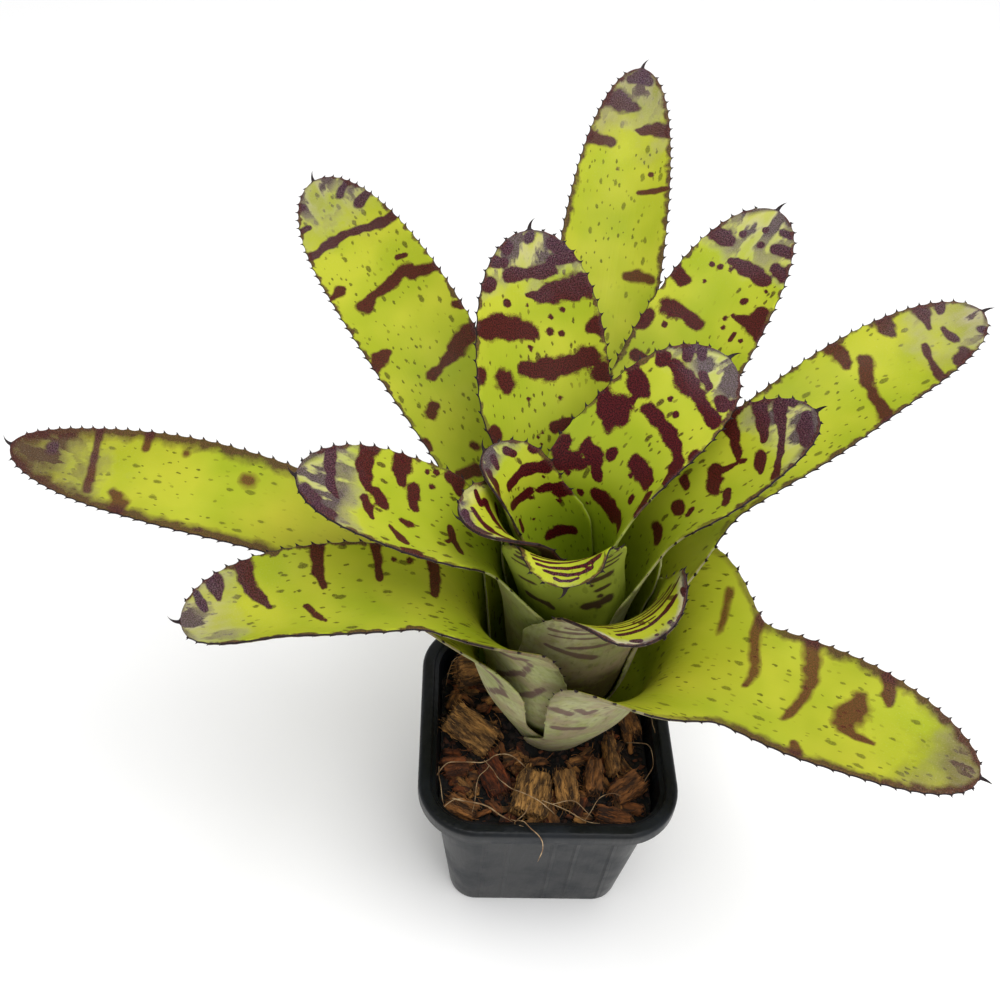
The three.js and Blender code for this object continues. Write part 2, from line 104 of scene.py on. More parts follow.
def rounded_square(width, corner, z, steps=14):
    ring = []
    for side in range(4):
        middle = math.pi / 2 * side + math.pi / 4
        for i in range(steps + 1):
            turn = (side + i / steps) * math.pi / 2
            inset = width / 2 - corner
            x = math.copysign(inset, math.cos(middle)) + corner * math.cos(turn)
            y = math.copysign(inset, math.sin(middle)) + corner * math.sin(turn)
            ring.append((x, y, z))
    return ring


def rim_ring(inset, z):
    return rounded_square(RIM_WIDTH - 2 * inset, RIM_CORNER - inset, z)


def wall_ring(z, inset):
    width = mix(FOOT_WIDTH, WALL_TOP_WIDTH, z / (POT_HEIGHT - RIM_LIP / 3)) - 2 * inset
    return rounded_square(width, mix(FOOT_CORNER, RIM_CORNER - 5, z / POT_HEIGHT) - inset, z)


def closed_loft(name, rings, materials, bottom=None, top=None):
    """A closed mesh through rings of equal counts, given in millimetres."""
    count = len(rings[0])
    points = [tuple(p) for ring in rings for p in ring]
    faces = []
    for r in range(len(rings) - 1):
        for i in range(count):
            j = (i + 1) % count
            a, b = r * count + i, r * count + j
            faces.append((a, b, b + count, a + count))
    last = (len(rings) - 1) * count
    points += [bottom or tuple(np.mean(rings[0], 0)), top or tuple(np.mean(rings[-1], 0))]
    for i in range(count):
        j = (i + 1) % count
        faces.append((len(points) - 2, j, i))
        faces.append((len(points) - 1, last + i, last + j))
    mesh = bpy.data.meshes.new(name)
    mesh.from_pydata([Vector(p) * MM for p in points], [], faces)
    for material in materials:
        mesh.materials.append(material)
    return mesh


def mesh_of(shape, name, *materials):
    """The mesh that a bmesh holds, which is let go."""
    mesh = bpy.data.meshes.new(name)
    shape.to_mesh(mesh)
    shape.free()
    for material in materials:
        mesh.materials.append(material)
    return mesh


def piece_of(name, mesh, *nodes, slot):
    """The finished piece for a mesh that stands for these nodes."""
    piece = stand(name, mesh)
    if nodes:
        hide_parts(*nodes)
    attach(piece, "root")


def hex_colour(code):
    """The linear colour of an sRGB hex code."""
    parts = [int(code[i : i + 2], 16) / 255 for i in (1, 3, 5)]
    linear = [c / 12.92 if c <= 0.04045 else ((c + 0.055) / 1.055) ** 2.4 for c in parts]
    return (*linear, 1.0)


def feed(node, sockets):
    """Set a node's inputs to values or hex colours, or link them to sockets or to whole nodes."""
    for key, value in sockets.items():
        if isinstance(value, bpy.types.Node):
            value = next(socket for socket in value.outputs if socket.enabled)
        if isinstance(value, bpy.types.NodeSocket):
            node.id_data.links.new(value, node.inputs[key])
        elif isinstance(value, str) and value.startswith("#"):
            node.inputs[key].default_value = hex_colour(value)
        else:
            node.inputs[key].default_value = value


def adder(tree):
    """The function that adds a node to this tree. A kind without a prefix is a shader node."""

    def add(kind, *inputs, **settings):
        """A new node with its settings and its inputs, given in their order or by name."""
        node = tree.nodes.new(kind if "Node" in kind else "ShaderNode" + kind)
        for name, value in settings.items():
            setattr(node, name, value)
        for place, value in enumerate(inputs):
            feed(node, value if isinstance(value, dict) else {place: value})
        return node

    return add


def new_material(name):
    """A material, the function that adds its nodes, and its shader, which is still to be fed."""
    material = bpy.data.materials.new(name)
    material.use_nodes = True
    material.node_tree.nodes.clear()
    add = adder(material.node_tree)
    shader = add("BsdfPrincipled")
    add("OutputMaterial", {"Surface": shader})
    return material, add, shader


# Black polypropylene, vacuum formed: a dark slate satin with a soft grey sheen on the walls,
# faint upright draw lines, and dust and scuffs that dull the gloss.
pot_plastic, add, shader = new_material("black_polypropylene")
place = add("TexCoord").outputs["Object"]
drawn = add("Mapping", {"Vector": place, "Scale": (1, 1, 0.06)})
creases = add("TexNoise", {"Vector": drawn, "Scale": 420, "Detail": 3})
dust = add("TexNoise", {"Vector": place, "Scale": 60, "Detail": 6, "Roughness": 0.65})
grit = add("TexNoise", {"Vector": place, "Scale": 1500, "Detail": 2})
dusty = add("MapRange", dust, 0.45, 0.75)
tint = add("Mix", {0: dusty, 6: "#05080B", 7: "#10161D"}, data_type="RGBA")
rough = add("MapRange", dusty, 0, 1, 0.34, 0.55)
sides = add("SeparateXYZ", place).outputs
below_rim = add("MapRange", sides[2], 66 * MM, 62 * MM, 0, 3.5)
for axis, middle in CREASES:
    away = add("Math", sides[axis], middle * MM, operation="SUBTRACT")
    away = add("Math", away, operation="ABSOLUTE")
    crease = add("MapRange", away, CREASE_HALF * MM, 0, 0, below_rim)
    creases = add("Math", creases, crease, operation="ADD")
ridged = add("Bump", {"Height": creases, "Strength": 0.5, "Distance": 0.5 * MM})
gritty = {"Height": grit, "Strength": 0.06, "Distance": 0.3 * MM, "Normal": ridged}
relief = add("Bump", gritty)
feed(shader, {"Base Color": tint, "Roughness": rough, "Normal": relief, "Specular IOR Level": 0.22})

rings = [rounded_square(FOOT_WIDTH - 2, FOOT_CORNER - 1, 0), wall_ring(0.5, 0.1), wall_ring(1.4, 0)]
rings += [wall_ring(z, 0) for z in (20, 40, 58, UNDER_RIM)]
lip_foot = POT_HEIGHT - RIM_LIP
rings += [rim_ring(LIP_WALL, UNDER_RIM), rim_ring(LIP_WALL, lip_foot), rim_ring(0.25, lip_foot)]
rings += [rim_ring(0, lip_foot + 0.4), rim_ring(0, POT_HEIGHT - 1.6)]
for i in range(7):  # the rim rolls over to its flat top
    turn = math.pi / 2 * i / 6
    z = POT_HEIGHT - OUTER_ROLL + OUTER_ROLL * math.sin(turn)
    rings.append(rim_ring(OUTER_ROLL * (1 - math.cos(turn)), z))
for i in range(5):  # and rolls down into the mouth
    turn = math.pi / 2 * i / 4
    inset = RIM_FLANGE - INNER_ROLL + INNER_ROLL * math.sin(turn)
    rings.append(rim_ring(inset, POT_HEIGHT - INNER_ROLL * (1 - math.cos(turn))))
rings += [wall_ring(z, WALL) for z in (POT_HEIGHT - 2.2, 50, 25, FLOOR)]
pot = stand("pot_uncut", closed_loft("pot_body", rings, [pot_plastic], (0, 0, 0), (0, 0, FLOOR)))
holes = bmesh.new()
for i in range(4):
    turn = math.pi / 2 * i
    spot = Matrix.Translation((DRAIN_RING * math.cos(turn) * MM, DRAIN_RING * math.sin(turn) * MM, 0))
    drill = dict(segments=32, radius1=DRAIN_RADIUS * MM, radius2=DRAIN_RADIUS * MM, depth=8 * MM)
    bmesh.ops.create_cone(holes, cap_ends=True, matrix=spot, **drill)
cutter = stand("drain_holes", mesh_of(holes, "drain_holes"))
cut = pot.modifiers.new("drain holes", "BOOLEAN")
cut.object = cutter
cut.solver = "EXACT"
cut_pot = bpy.data.meshes.new_from_object(pot.evaluated_get(bpy.context.evaluated_depsgraph_get()))
bpy.data.objects.remove(pot)
bpy.data.objects.remove(cutter)
cut_pot.shade_smooth()
cut_pot.set_sharp_from_angle(angle=math.radians(40))
piece_of("nursery_pot", cut_pot, "pot", slot="pot_plastic")

# ---- Potting mix ----
# Fine orchid mix of composted bark and coir, poured round the roots and settled a centimetre
# below the rim. It is dark and damp, with loose crumbs of bark and coir pith on top.
GAP = 0.35
MIX_HEIGHT, MIX_RELIEF = 60, 1.3
AXIS = (4, 12)  # where the plant's upright axis stands on the pot's plan
POCKET = 15.6  # the radius of the hollow round the plant's foot


def smooth(a, b, x):
    s = np.clip((x - a) / (b - a), 0, 1)
    return s * s * (3 - 2 * s)


def lump(x, y, size, seed):
    """Smooth random relief from about -1 to 1 with bumps of about this size."""
    waves = random.Random(seed)
    total = 0
    for _ in range(7):
        turn, phase = waves.uniform(0, 6.283), waves.uniform(0, 6.283)
        pitch = size * waves.uniform(0.7, 1.8)
        total = total + np.sin((x * math.cos(turn) + y * math.sin(turn)) * 6.283 / pitch + phase)
    return total / 4


def reach_of(ring, turn):
    """How far the ring is from the plant's axis, in this direction."""
    reach = 0
    for (x1, y1, _), (x2, y2, _) in zip(ring, ring[1:] + ring[:1]):
        a = np.array([[math.cos(turn), x1 - x2], [math.sin(turn), y1 - y2]])
        if abs(np.linalg.det(a)) < 1e-9:
            continue
        far, part = np.linalg.solve(a, [x1 - AXIS[0], y1 - AXIS[1]])
        if -1e-9 <= part <= 1 + 1e-9 and far > reach:
            reach = far
    return reach


TURNS = np.linspace(0, 2 * math.pi, 160, endpoint=False)
edge = wall_ring(MIX_HEIGHT, WALL + GAP)
reaches = np.array([reach_of(edge, t) for t in TURNS])


def mix_ring(part, z):
    """A ring from the pocket, at 0, to the wall, at 1. Without a height it follows the mix's top."""
    far = mix(POCKET, reaches, part)
    x, y = AXIS[0] + far * np.cos(TURNS), AXIS[1] + far * np.sin(TURNS)
    rise = MIX_RELIEF * (0.7 * lump(x, y, 11, 3) + 0.4 * lump(x, y, 4.5, 8)) if z is None else 0
    height = np.full(len(x), MIX_HEIGHT - 0.5 if z is None else z) + rise
    return np.stack([x, y, height], 1)


def lower_ring(z):
    shrink = (mix(FOOT_WIDTH, WALL_TOP_WIDTH, z / 70) - 3) / (mix(FOOT_WIDTH, WALL_TOP_WIDTH, 60 / 70) - 3)
    ring = mix_ring(1, 60)
    ring[:, :2] *= shrink
    ring[:, 2] = z
    return ring


rings = [lower_ring(z) for z in (FLOOR + GAP, 20, 40, 57)]
rings += [mix_ring(1 - k / 44, None) for k in range(45)]
rings += [mix_ring(-0.02, 55), mix_ring(-0.06, 50)]
mix_mesh = closed_loft("mix_body", rings, [])

# Damp composted bark and coir pith: near-black brown, matt, with paler brown crumbs.
damp_mix, add, shader = new_material("damp_bark_and_coir_fines")
place = add("TexCoord").outputs["Object"]
tone = add("Attribute", attribute_name="tone").outputs["Fac"]
grains = add("TexNoise", {"Vector": place, "Scale": 900, "Detail": 4})
patches = add("TexNoise", {"Vector": place, "Scale": 90, "Detail": 3})
shade = add("Math", tone, patches, operation="MULTIPLY")
ramp = add("ValToRGB", shade)
for place_on_ramp, colour in ((0.0, "#0A0604"), (0.25, "#170C07"), (0.48, "#30190B"), (0.72, "#64351A")):
    ramp.color_ramp.elements.new(place_on_ramp).color = hex_colour(colour)
ramp.color_ramp.elements.remove(ramp.color_ramp.elements[-1])
relief = add("Bump", {"Height": grains, "Strength": 0.6, "Distance": 0.6 * MM})
feed(shader, {"Base Color": ramp, "Roughness": 0.85, "Normal": relief})


def run_nodes(mesh, tree, **inputs):
    """The mesh that a geometry tree makes from a mesh, with its named inputs set."""
    piece = stand("unpatterned", mesh)
    modifier = piece.modifiers.new("pattern", "NODES")
    modifier.node_group = tree
    for item in tree.interface.items_tree:
        key = item.name.lower().replace(" ", "_")
        if item.item_type == "SOCKET" and item.in_out == "INPUT" and key in inputs:
            modifier[item.identifier] = inputs[key]
    made = bpy.data.meshes.new_from_object(piece.evaluated_get(bpy.context.evaluated_depsgraph_get()))
    bpy.data.objects.remove(piece)
    return made


def new_tree(name, **inputs):
    """A geometry tree with named number inputs, the function that adds its nodes, and its inputs."""
    tree = bpy.data.node_groups.new(name, "GeometryNodeTree")
    tree.interface.new_socket("Geometry", in_out="INPUT", socket_type="NodeSocketGeometry")
    for label, value in inputs.items():
        kind = "NodeSocketInt" if isinstance(value, int) else "NodeSocketFloat"
        socket = tree.interface.new_socket(label.replace("_", " "), in_out="INPUT", socket_type=kind)
        socket.default_value = value
    tree.interface.new_socket("Geometry", in_out="OUTPUT", socket_type="NodeSocketGeometry")
    return tree, adder(tree), tree.nodes.new("NodeGroupInput").outputs


# Crumbs scattered over the top of the mix: stretched, knocked lumps of one to four millimetres.
crumb_sizes = {"spacing": 1.7 * MM, "crumb": 0.95 * MM, "seed": 5}
tree, add, given = new_tree("loose crumbs", **crumb_sizes)
upright = add("SeparateXYZ", add("GeometryNodeInputNormal")).outputs[2]
height = add("SeparateXYZ", add("GeometryNodeInputPosition")).outputs[2]
high = add("FunctionNodeCompare", height, 57.5 * MM, operation="GREATER_THAN")
flat = add("FunctionNodeCompare", upright, 0.5, operation="GREATER_THAN")
top = add("FunctionNodeBooleanMath", high, flat)
sown = {"Mesh": given[0], "Selection": top, "Distance Min": given[1], "Density Max": 4e5, "Seed": given[3]}
spots = add("GeometryNodeDistributePointsOnFaces", sown, distribute_method="POISSON")
ball = add("GeometryNodeMeshIcoSphere", {"Radius": given[2], "Subdivisions": 2})
spot = add("GeometryNodeInputPosition")
wobble = add("TexNoise", {"Vector": spot, "Scale": 700, "Detail": 1}).outputs["Color"]
wobble = add("VectorMath", wobble, (0.5, 0.5, 0.5), operation="SUBTRACT")
wobble = add("VectorMath", {0: wobble, "Scale": 1.9 * MM}, operation="SCALE")
crumb = add("GeometryNodeSetPosition", {"Geometry": ball, "Offset": wobble})
sizes = {0: (0.5, 0.4, 0.25), 1: (2.3, 1.3, 0.9), "Seed": given[3]}
size = add("FunctionNodeRandomValue", sizes, data_type="FLOAT_VECTOR")
turns = {0: (-0.5, -0.5, 0), 1: (0.5, 0.5, 6.283), "Seed": 9}
turn = add("FunctionNodeRandomValue", turns, data_type="FLOAT_VECTOR")
strewn = {"Points": spots, "Instance": crumb, "Rotation": turn, "Scale": size}
strewn = add("GeometryNodeInstanceOnPoints", strewn)
tone = add("FunctionNodeRandomValue", {2: 0.15, 3: 1.2, "Seed": 4}, data_type="FLOAT")
toned = {"Geometry": strewn, "Name": "tone", 3: tone}
strewn = add("GeometryNodeStoreNamedAttribute", toned, domain="INSTANCE")
both = add("GeometryNodeJoinGeometry", strewn)
feed(both, {0: given[0]})
real = add("GeometryNodeRealizeInstances", both)
done = add("GeometryNodeSetMaterial", {0: real, "Material": damp_mix})
add("NodeGroupOutput", done)
mix_mesh = run_nodes(mix_mesh, tree, **crumb_sizes)
mix_mesh.shade_smooth()
piece_of("potting_mix_fines", mix_mesh, "potting_mix", slot="potting_mix")

# ---- Husk chips ----
# Chunks of coconut husk, chopped by machine and laid in the mix. Each is a bundle of coarse
# fibres in tan pith: its long faces are combed along the grain and its cut ends are ragged.
HUSK_CHIPS = [
    # middle on the pot's plan and height above the mix, size, turns about Z and Y, redness
    ((-26, 28, 4), (13, 11, 10), 20, 10, 0.3),
    ((-27, 1, 4), (19, 12, 5), -32, 14, 0.1),
    ((-32, -13, 1), (9, 7, 6), 10, 0, 0.9),
    ((-18, -17, 1), (9, 13, 6), 25, -12, 1.0),
    ((-5, -24, 3), (13, 17, 6), -12, 16, 0.0),
    ((7, -22, 3), (8, 13, 6), 5, -8, 0.2),
    ((17, -17, 2), (6, 13, 7), -8, 6, 0.6),
    ((24, -8, 3), (3.4, 15, 6), 4, 18, 0.3),
    ((29, -21, 2), (12, 8, 6), 35, -10, 0.7),
    ((23, -32, 1), (12, 7, 6), -6, 8, 0.8),
    ((32, 8, 2), (7, 13, 5), 14, -20, 0.5),
    ((-30, -29, 1), (11, 7, 5), -24, 6, 0.6),
]

# Dry coconut husk: golden tan to rust pith with darker coarse fibres along the grain, matt.
husk, add, shader = new_material("dry_coconut_husk")
grain = add("Attribute", attribute_name="grain").outputs["Vector"]
redness = add("Attribute", attribute_name="redness").outputs["Fac"]
combed = add("Mapping", {"Vector": grain, "Scale": (0.16, 1, 1)})
coarse = {"Vector": combed, "Scale": 900, "Detail": 6, "Roughness": 0.75, "Distortion": 0.6}
fibres = add("TexNoise", coarse)
bands = add("Mapping", {"Vector": grain, "Scale": (0.3, 1, 1)})
mottle = add("TexNoise", {"Vector": bands, "Scale": 380, "Detail": 5, "Roughness": 0.65})
pith = add("Mix", {0: redness, 6: "#DBA257", 7: "#8C4319"}, data_type="RGBA")
dark = add("Mix", {0: redness, 6: "#1E1007", 7: "#140804"}, data_type="RGBA")
streak = add("MapRange", fibres, 0.34, 0.6, 0.35)
blotch = add("MapRange", mottle, 0.42, 0.62, 0.1)
light = add("Math", streak, blotch, operation="MULTIPLY")
tint = add("Mix", {0: light, 6: dark, 7: pith}, data_type="RGBA")
relief = add("Bump", {"Height": fibres, "Strength": 0.9, "Distance": 1 * MM})
feed(shader, {"Base Color": tint, "Roughness": 0.9, "Normal": relief})

# The fibre tree lays bent threads on a mesh, each along the point's own "lie" direction but swayed
# off it. A thread keeps the redness of the husk under it.
fibre_tree, add, given = new_tree(
    "husk fibres", spacing=1.1 * MM, length=5.0 * MM, radius=0.13 * MM, sway=0.35, seed=2
)
sown = {"Mesh": given[0], "Distance Min": given[1], "Density Max": 6e5, "Seed": given[5]}
spots = add("GeometryNodeDistributePointsOnFaces", sown, distribute_method="POISSON")
half, back, rise = [
    add("Math", given[2], share, operation="MULTIPLY") for share in (0.5, -0.5, 0.14)
]
start = add("CombineXYZ", back)
middle = add("CombineXYZ", {1: rise, 2: rise})
end = add("CombineXYZ", half)
bow = {"Resolution": 7, "Start": start, "Middle": middle, "End": end}
line = add("GeometryNodeCurveQuadraticBezier", bow)
thin = add("GeometryNodeCurvePrimitiveCircle", {"Resolution": 4, "Radius": given[3]})
thread = add("GeometryNodeCurveToMesh", {"Curve": line, "Profile Curve": thin, "Fill Caps": True})
lie = add("GeometryNodeInputNamedAttribute", "lie", data_type="FLOAT_VECTOR")
stray = {0: (-1, -1, -1), 1: (1, 1, 1), "Seed": 7}
stray = add("FunctionNodeRandomValue", stray, data_type="FLOAT_VECTOR")
stray = add("VectorMath", {0: stray, "Scale": given[4]}, operation="SCALE")
heading = add("VectorMath", lie, stray, operation="ADD")
way = add("FunctionNodeRandomValue", {2: -1, 3: 1, "Seed": 11}, data_type="FLOAT")
way = add("Math", way, operation="SIGN")
heading = add("VectorMath", {0: heading, "Scale": way}, operation="SCALE")
aimed = {"Primary Axis": heading, "Secondary Axis": spots.outputs["Normal"]}
turned = add("FunctionNodeAxesToRotation", aimed, primary_axis="X", secondary_axis="Z")
sizes = {0: (0.4, 0.5, 0.6), 1: (1.3, 1.2, 1.3), "Seed": 3}
size = add("FunctionNodeRandomValue", sizes, data_type="FLOAT_VECTOR")
laid = {"Points": spots, "Instance": thread, "Rotation": turned, "Scale": size}
laid = add("GeometryNodeInstanceOnPoints", laid)
real = add("GeometryNodeRealizeInstances", laid)
grained = {"Geometry": real, "Name": "grain", 3: add("GeometryNodeInputPosition")}
real = add("GeometryNodeStoreNamedAttribute", grained, data_type="FLOAT_VECTOR", domain="POINT")
done = add("GeometryNodeSetMaterial", {0: real, "Material": husk})
both = add("GeometryNodeJoinGeometry", done)
feed(both, {0: given[0]})
add("NodeGroupOutput", both)


def chance(seed):
    """A fixed random number from 0 to 1 for this seed."""
    s = math.sin(seed * 12.9898 + 4.1414) * 43758.5453
    return s - math.floor(s)


def husk_lump(size, seed, redness, fineness, at, turn, tilt):
    """A bmesh of a ragged lump of husk of this size with its grain laid out, turned and in its place."""
    shape = bmesh.new()
    for corner in range(8):
        for k in range(2):
            point = []
            for axis in range(3):
                sign = 0.5 if corner & (1 << axis) else -0.5
                inset = 0.42 * chance(seed + corner * 3 + k + 100 * axis) * (1 if k == axis else 0.35)
                point.append(sign * (1 - inset) * size[axis] * MM)
            shape.verts.new(point)
    hull = bmesh.ops.convex_hull(shape, input=shape.verts)
    spare = {e for e in hull["geom_interior"] + hull["geom_unused"] if isinstance(e, bmesh.types.BMVert)}
    bmesh.ops.delete(shape, geom=list(spare), context="VERTS")
    bmesh.ops.triangulate(shape, faces=shape.faces)
    for _ in range(4):
        long_edges = [e for e in shape.edges if e.calc_length() > fineness * MM]
        bmesh.ops.subdivide_edges(shape, edges=long_edges, cuts=1)
        bmesh.ops.triangulate(shape, faces=[f for f in shape.faces if len(f.verts) > 3])
    every_way = dict(use_axis_x=True, use_axis_y=True, use_axis_z=True)
    bmesh.ops.smooth_vert(shape, verts=shape.verts, factor=0.5, **every_way)
    shape.normal_update()
    grain = shape.verts.layers.float_vector.new("grain")
    lie = shape.verts.layers.float_vector.new("lie")
    redden = shape.verts.layers.float.new("redness")
    long_axis = 0 if size[0] >= size[1] else 1
    direction = Vector((1, 0, 0)) if long_axis == 0 else Vector((0, 1, 0))
    spin = Matrix.Rotation(math.radians(turn), 4, "Z") @ Matrix.Rotation(math.radians(tilt), 4, "Y")
    lying = spin.to_3x3() @ direction
    apart = Vector((0, seed * 0.0013, 0))  # no two lumps share a pattern
    for vert in shape.verts:
        x, y, z = vert.co / MM
        along, beside = (x, y) if long_axis == 0 else (y, x)
        end = smooth(0.36, 0.5, abs(along) / size[long_axis])
        ridges = lump(beside * 5 + 0.5 * along, z * 6, 8, seed)
        ridges += 0.8 * lump(along, beside + z, 3.2, seed + 40)
        ragged = lump(beside * 3, z * 3, 3, seed + 80) * end
        vert[grain] = Vector((along, beside, z)) * MM + apart
        vert[redden] = redness
        vert[lie] = lying
        vert.co += vert.normal * (0.36 * ridges * (1 - end)) * MM
        vert.co += direction * (math.copysign(1.0, along) * ragged) * MM
    shape.transform(Matrix.Translation(Vector((at[0], at[1], MIX_HEIGHT + at[2])) * MM) @ spin)
    return shape


CHIP_FIBRES = {"spacing": 1.3 * MM, "length": 4.5 * MM, "radius": 0.14 * MM, "sway": 0.3}
for index, (at, size, turn, tilt, redness) in enumerate(HUSK_CHIPS):
    shape = husk_lump(size, index * 31, redness, 0.9, at, turn, tilt)
    chip_mesh = mesh_of(shape, f"husk_chip_{index + 1:02d}_body", husk)
    chip_mesh = run_nodes(chip_mesh, fibre_tree, seed=index, **CHIP_FIBRES)
    chip_mesh.shade_smooth()
    piece_of(f"coconut_husk_{index + 1:02d}", chip_mesh, f"husk_chip_{index + 1:02d}", slot="husk")

# ---- Loose husk ----
# Smaller splinters and flakes of the same husk, two to eight millimetres long, filling the
# gaps between the chips. They lie loose on the mix, each at its own tilt, with stray threads.
FLAKES, SPREAD = 150, 35
CLEAR_OF_FOOT = 21  # no flake's middle is nearer to the plant's axis
CORNER_FROM, CORNER_REACH = 25, 8.5  # how far they go into the pot's rounded corners
flakes = bmesh.new()
scatter = random.Random(12)
laid_flakes = 0
while laid_flakes < FLAKES:
    x, y = scatter.uniform(-SPREAD, SPREAD), scatter.uniform(-SPREAD, SPREAD)
    long = scatter.uniform(2.5, 8.5)
    into_corner = math.hypot(max(abs(x) - CORNER_FROM, 0), max(abs(y) - CORNER_FROM, 0))
    if math.hypot(x - AXIS[0], y - AXIS[1]) < CLEAR_OF_FOOT or into_corner > CORNER_REACH:
        continue
    size = (long, scatter.uniform(1.2, 0.45 * long + 1), scatter.uniform(0.8, 2.2))
    redness = scatter.uniform(0.3, 1.0)
    at = (x, y, scatter.uniform(0.2, 1.6))
    turn, tilt = scatter.uniform(0, 360), scatter.uniform(-28, 28)
    made = mesh_of(husk_lump(size, 500 + laid_flakes * 17, redness, 1.5, at, turn, tilt), "flake")
    flakes.from_mesh(made)
    bpy.data.meshes.remove(made)
    laid_flakes += 1
flake_mesh = mesh_of(flakes, "husk_flakes_body", husk)
flake_fibres = {"spacing": 2.2 * MM, "length": 6.5 * MM, "radius": 0.11 * MM, "sway": 1.0, "seed": 40}
flake_mesh = run_nodes(flake_mesh, fibre_tree, **flake_fibres)
flake_mesh.shade_smooth()
piece_of("loose_husk_flakes", flake_mesh, slot="husk")

# ---- Roots and coir threads ----
# A few dry feeding roots and long coir threads that came up through the mix. They are wiry and
# tan, half a millimetre thick or less, and one hangs over the front of the rim.
ROOTS = [
    # half thickness, then the points it passes
    (0.17, [(-40, -22, 66), (-35, -15, 67.5), (-23, -15, 68), (-18, -11, 67), (-13, -11, 66.5),
            (-5, -16, 64)]),
    (0.15, [(-22, -12, 65), (-13, -25, 68.5), (-4, -30, 69.5), (2, -34, 66)]),
    (0.26, [(-33, -28, 66), (-22, -32, 68), (-12, -37, 66.5)]),
    (0.15, [(-35, -37, 65), (-36.5, -34, 67), (-33, -29, 66.5), (-29, -27, 64)]),
    (0.13, [(-38, -15, 65), (-37.5, -24, 68), (-35.5, -31, 65)]),
    (0.12, [(-20, -14, 65), (-24, -22, 68), (-26, -34, 66)]),
    (0.17, [(-13, -36, 67), (-9, -40.3, 73), (-7, -43, 73.4), (-4, -45.9, 72.4), (-2.6, -46, 66),
            (-3.6, -46, 56)]),
    (0.13, [(-6, -31, 69), (-9, -36, 70), (-12, -39.6, 70.5), (-9, -42, 72.9)]),
    (0.12, [(36, 12, 65), (39, 4, 70), (39.4, -5, 70), (38.6, -13, 66)]),
    (0.13, [(30, -3, 64), (37, -6, 67.5), (38, -14, 68), (34, -21, 65)]),
    (0.14, [(-2, -30, 69), (6, -34, 69.5), (12, -37, 68), (18, -36, 65)]),
    (0.12, [(1, -31, 69), (8, -31, 70), (15, -35, 67)]),
    (0.12, [(12, -36, 67), (16, -31, 70), (21, -27, 69.5), (26, -27, 67)]),
    (0.13, [(10, 37, 66), (20, 33, 68), (30, 34, 66), (34, 26, 64)]),
    (0.12, [(-36, 20, 65), (-33, 30, 68), (-22, 36, 66)]),
]

# Dry root and coir thread: pale tan to brown, matt, with darker joints along it.
wiry, add, shader = new_material("dry_root_and_coir_thread")
place = add("TexCoord").outputs["Object"]
joints = add("TexNoise", {"Vector": place, "Scale": 240, "Detail": 3})
joints = add("MapRange", joints, 0.38, 0.62)
tint = add("Mix", {0: joints, 6: "#7A5A3A", 7: "#BFA27A"}, data_type="RGBA")
feed(shader, {"Base Color": tint, "Roughness": 0.8})


def midrib(stations):
    """Points along a smooth curve through the stations, and the length up to each point."""
    p = [np.array(s, float) for s in stations]
    p = [2 * p[0] - p[1], *p, 2 * p[-1] - p[-2]]
    u = np.linspace(0, 1, 200, endpoint=False)[:, None]
    parts = []
    for a, b, c, d in zip(p, p[1:], p[2:], p[3:]):
        d0, d1, d2 = [np.linalg.norm(q - r) ** 0.5 for q, r in ((b, a), (c, b), (d, c))]
        m1 = ((b - a) / d0 - (c - a) / (d0 + d1) + (c - b) / d1) * d1
        m2 = ((c - b) / d1 - (d - b) / (d1 + d2) + (d - c) / d2) * d1
        parts.append(b + m1 * u + (3 * (c - b) - 2 * m1 - m2) * u**2 + (2 * (b - c) + m1 + m2) * u**3)
    line = np.vstack([*parts, p[-2][None]])
    return line, np.concatenate([[0], np.cumsum(np.linalg.norm(np.diff(line, axis=0), axis=1))])


roots = bmesh.new()
for number, (radius, points) in enumerate(ROOTS):
    line = midrib(points)[0][::14]
    wander = [lump(line[:, 0], line[:, 1] + 9 * k, 9, number + 5 * k) for k in range(3)]
    line = line + 0.35 * np.stack(wander, 1)
    rings = []
    for i, spot in enumerate(line):
        ahead = line[min(i + 1, len(line) - 1)] - line[max(i - 1, 0)]
        beside = np.cross(ahead, (0.1, 0.2, 1))
        beside /= np.linalg.norm(beside)
        above = np.cross(beside, ahead) / np.linalg.norm(ahead)
        thick = radius * (0.85 + 0.3 * chance(i + 50 * number)) * min(1, 0.25 + (len(line) - 1 - i) / 8)
        turns = [2 * math.pi * k / 6 for k in range(6)]
        rings.append([spot + thick * (beside * math.cos(a) + above * math.sin(a)) for a in turns])
    roots.from_mesh(closed_loft("root", rings, []))
root_mesh = mesh_of(roots, "roots_body", wiry)
root_mesh.shade_smooth()
piece_of("roots_and_coir_threads", root_mesh, slot="husk")

# ---- Leaves ----
# One rosette: each leaf is a stiff strap that widens below into a pale clasping sheath. Both
# margins carry dark hooked spines, the tip ends in a hooked point, and the faces are a little
# scurfy. The upper face is lime with maroon bars, and the lower face is grey-green.

# The foot of the oldest sheath and its fullest place, as radius and height, and from one leaf to
# the next younger one the step of each.
SHEATH_FOOT, FOOT_STEP = (14.3, 56), (-0.78, 0.93)
SHEATH_BULGE, BULGE_STEP = (28.5, 86), (-1.36, 1.0)
# The youngest leaves lean together, more and more between these two heights.
HEART_RANK, HEART_LEAN, LEAN_FROM, LEAN_TO = 11, -7, 125, 170
# How far a sheath goes round the plant to either side, in radians, at its foot and at its end,
# and the width of the neck that the blade starts with.
SHEATH_ANGLE, WRAP, NECK_WIDTH = 1.66, 1.25, 33
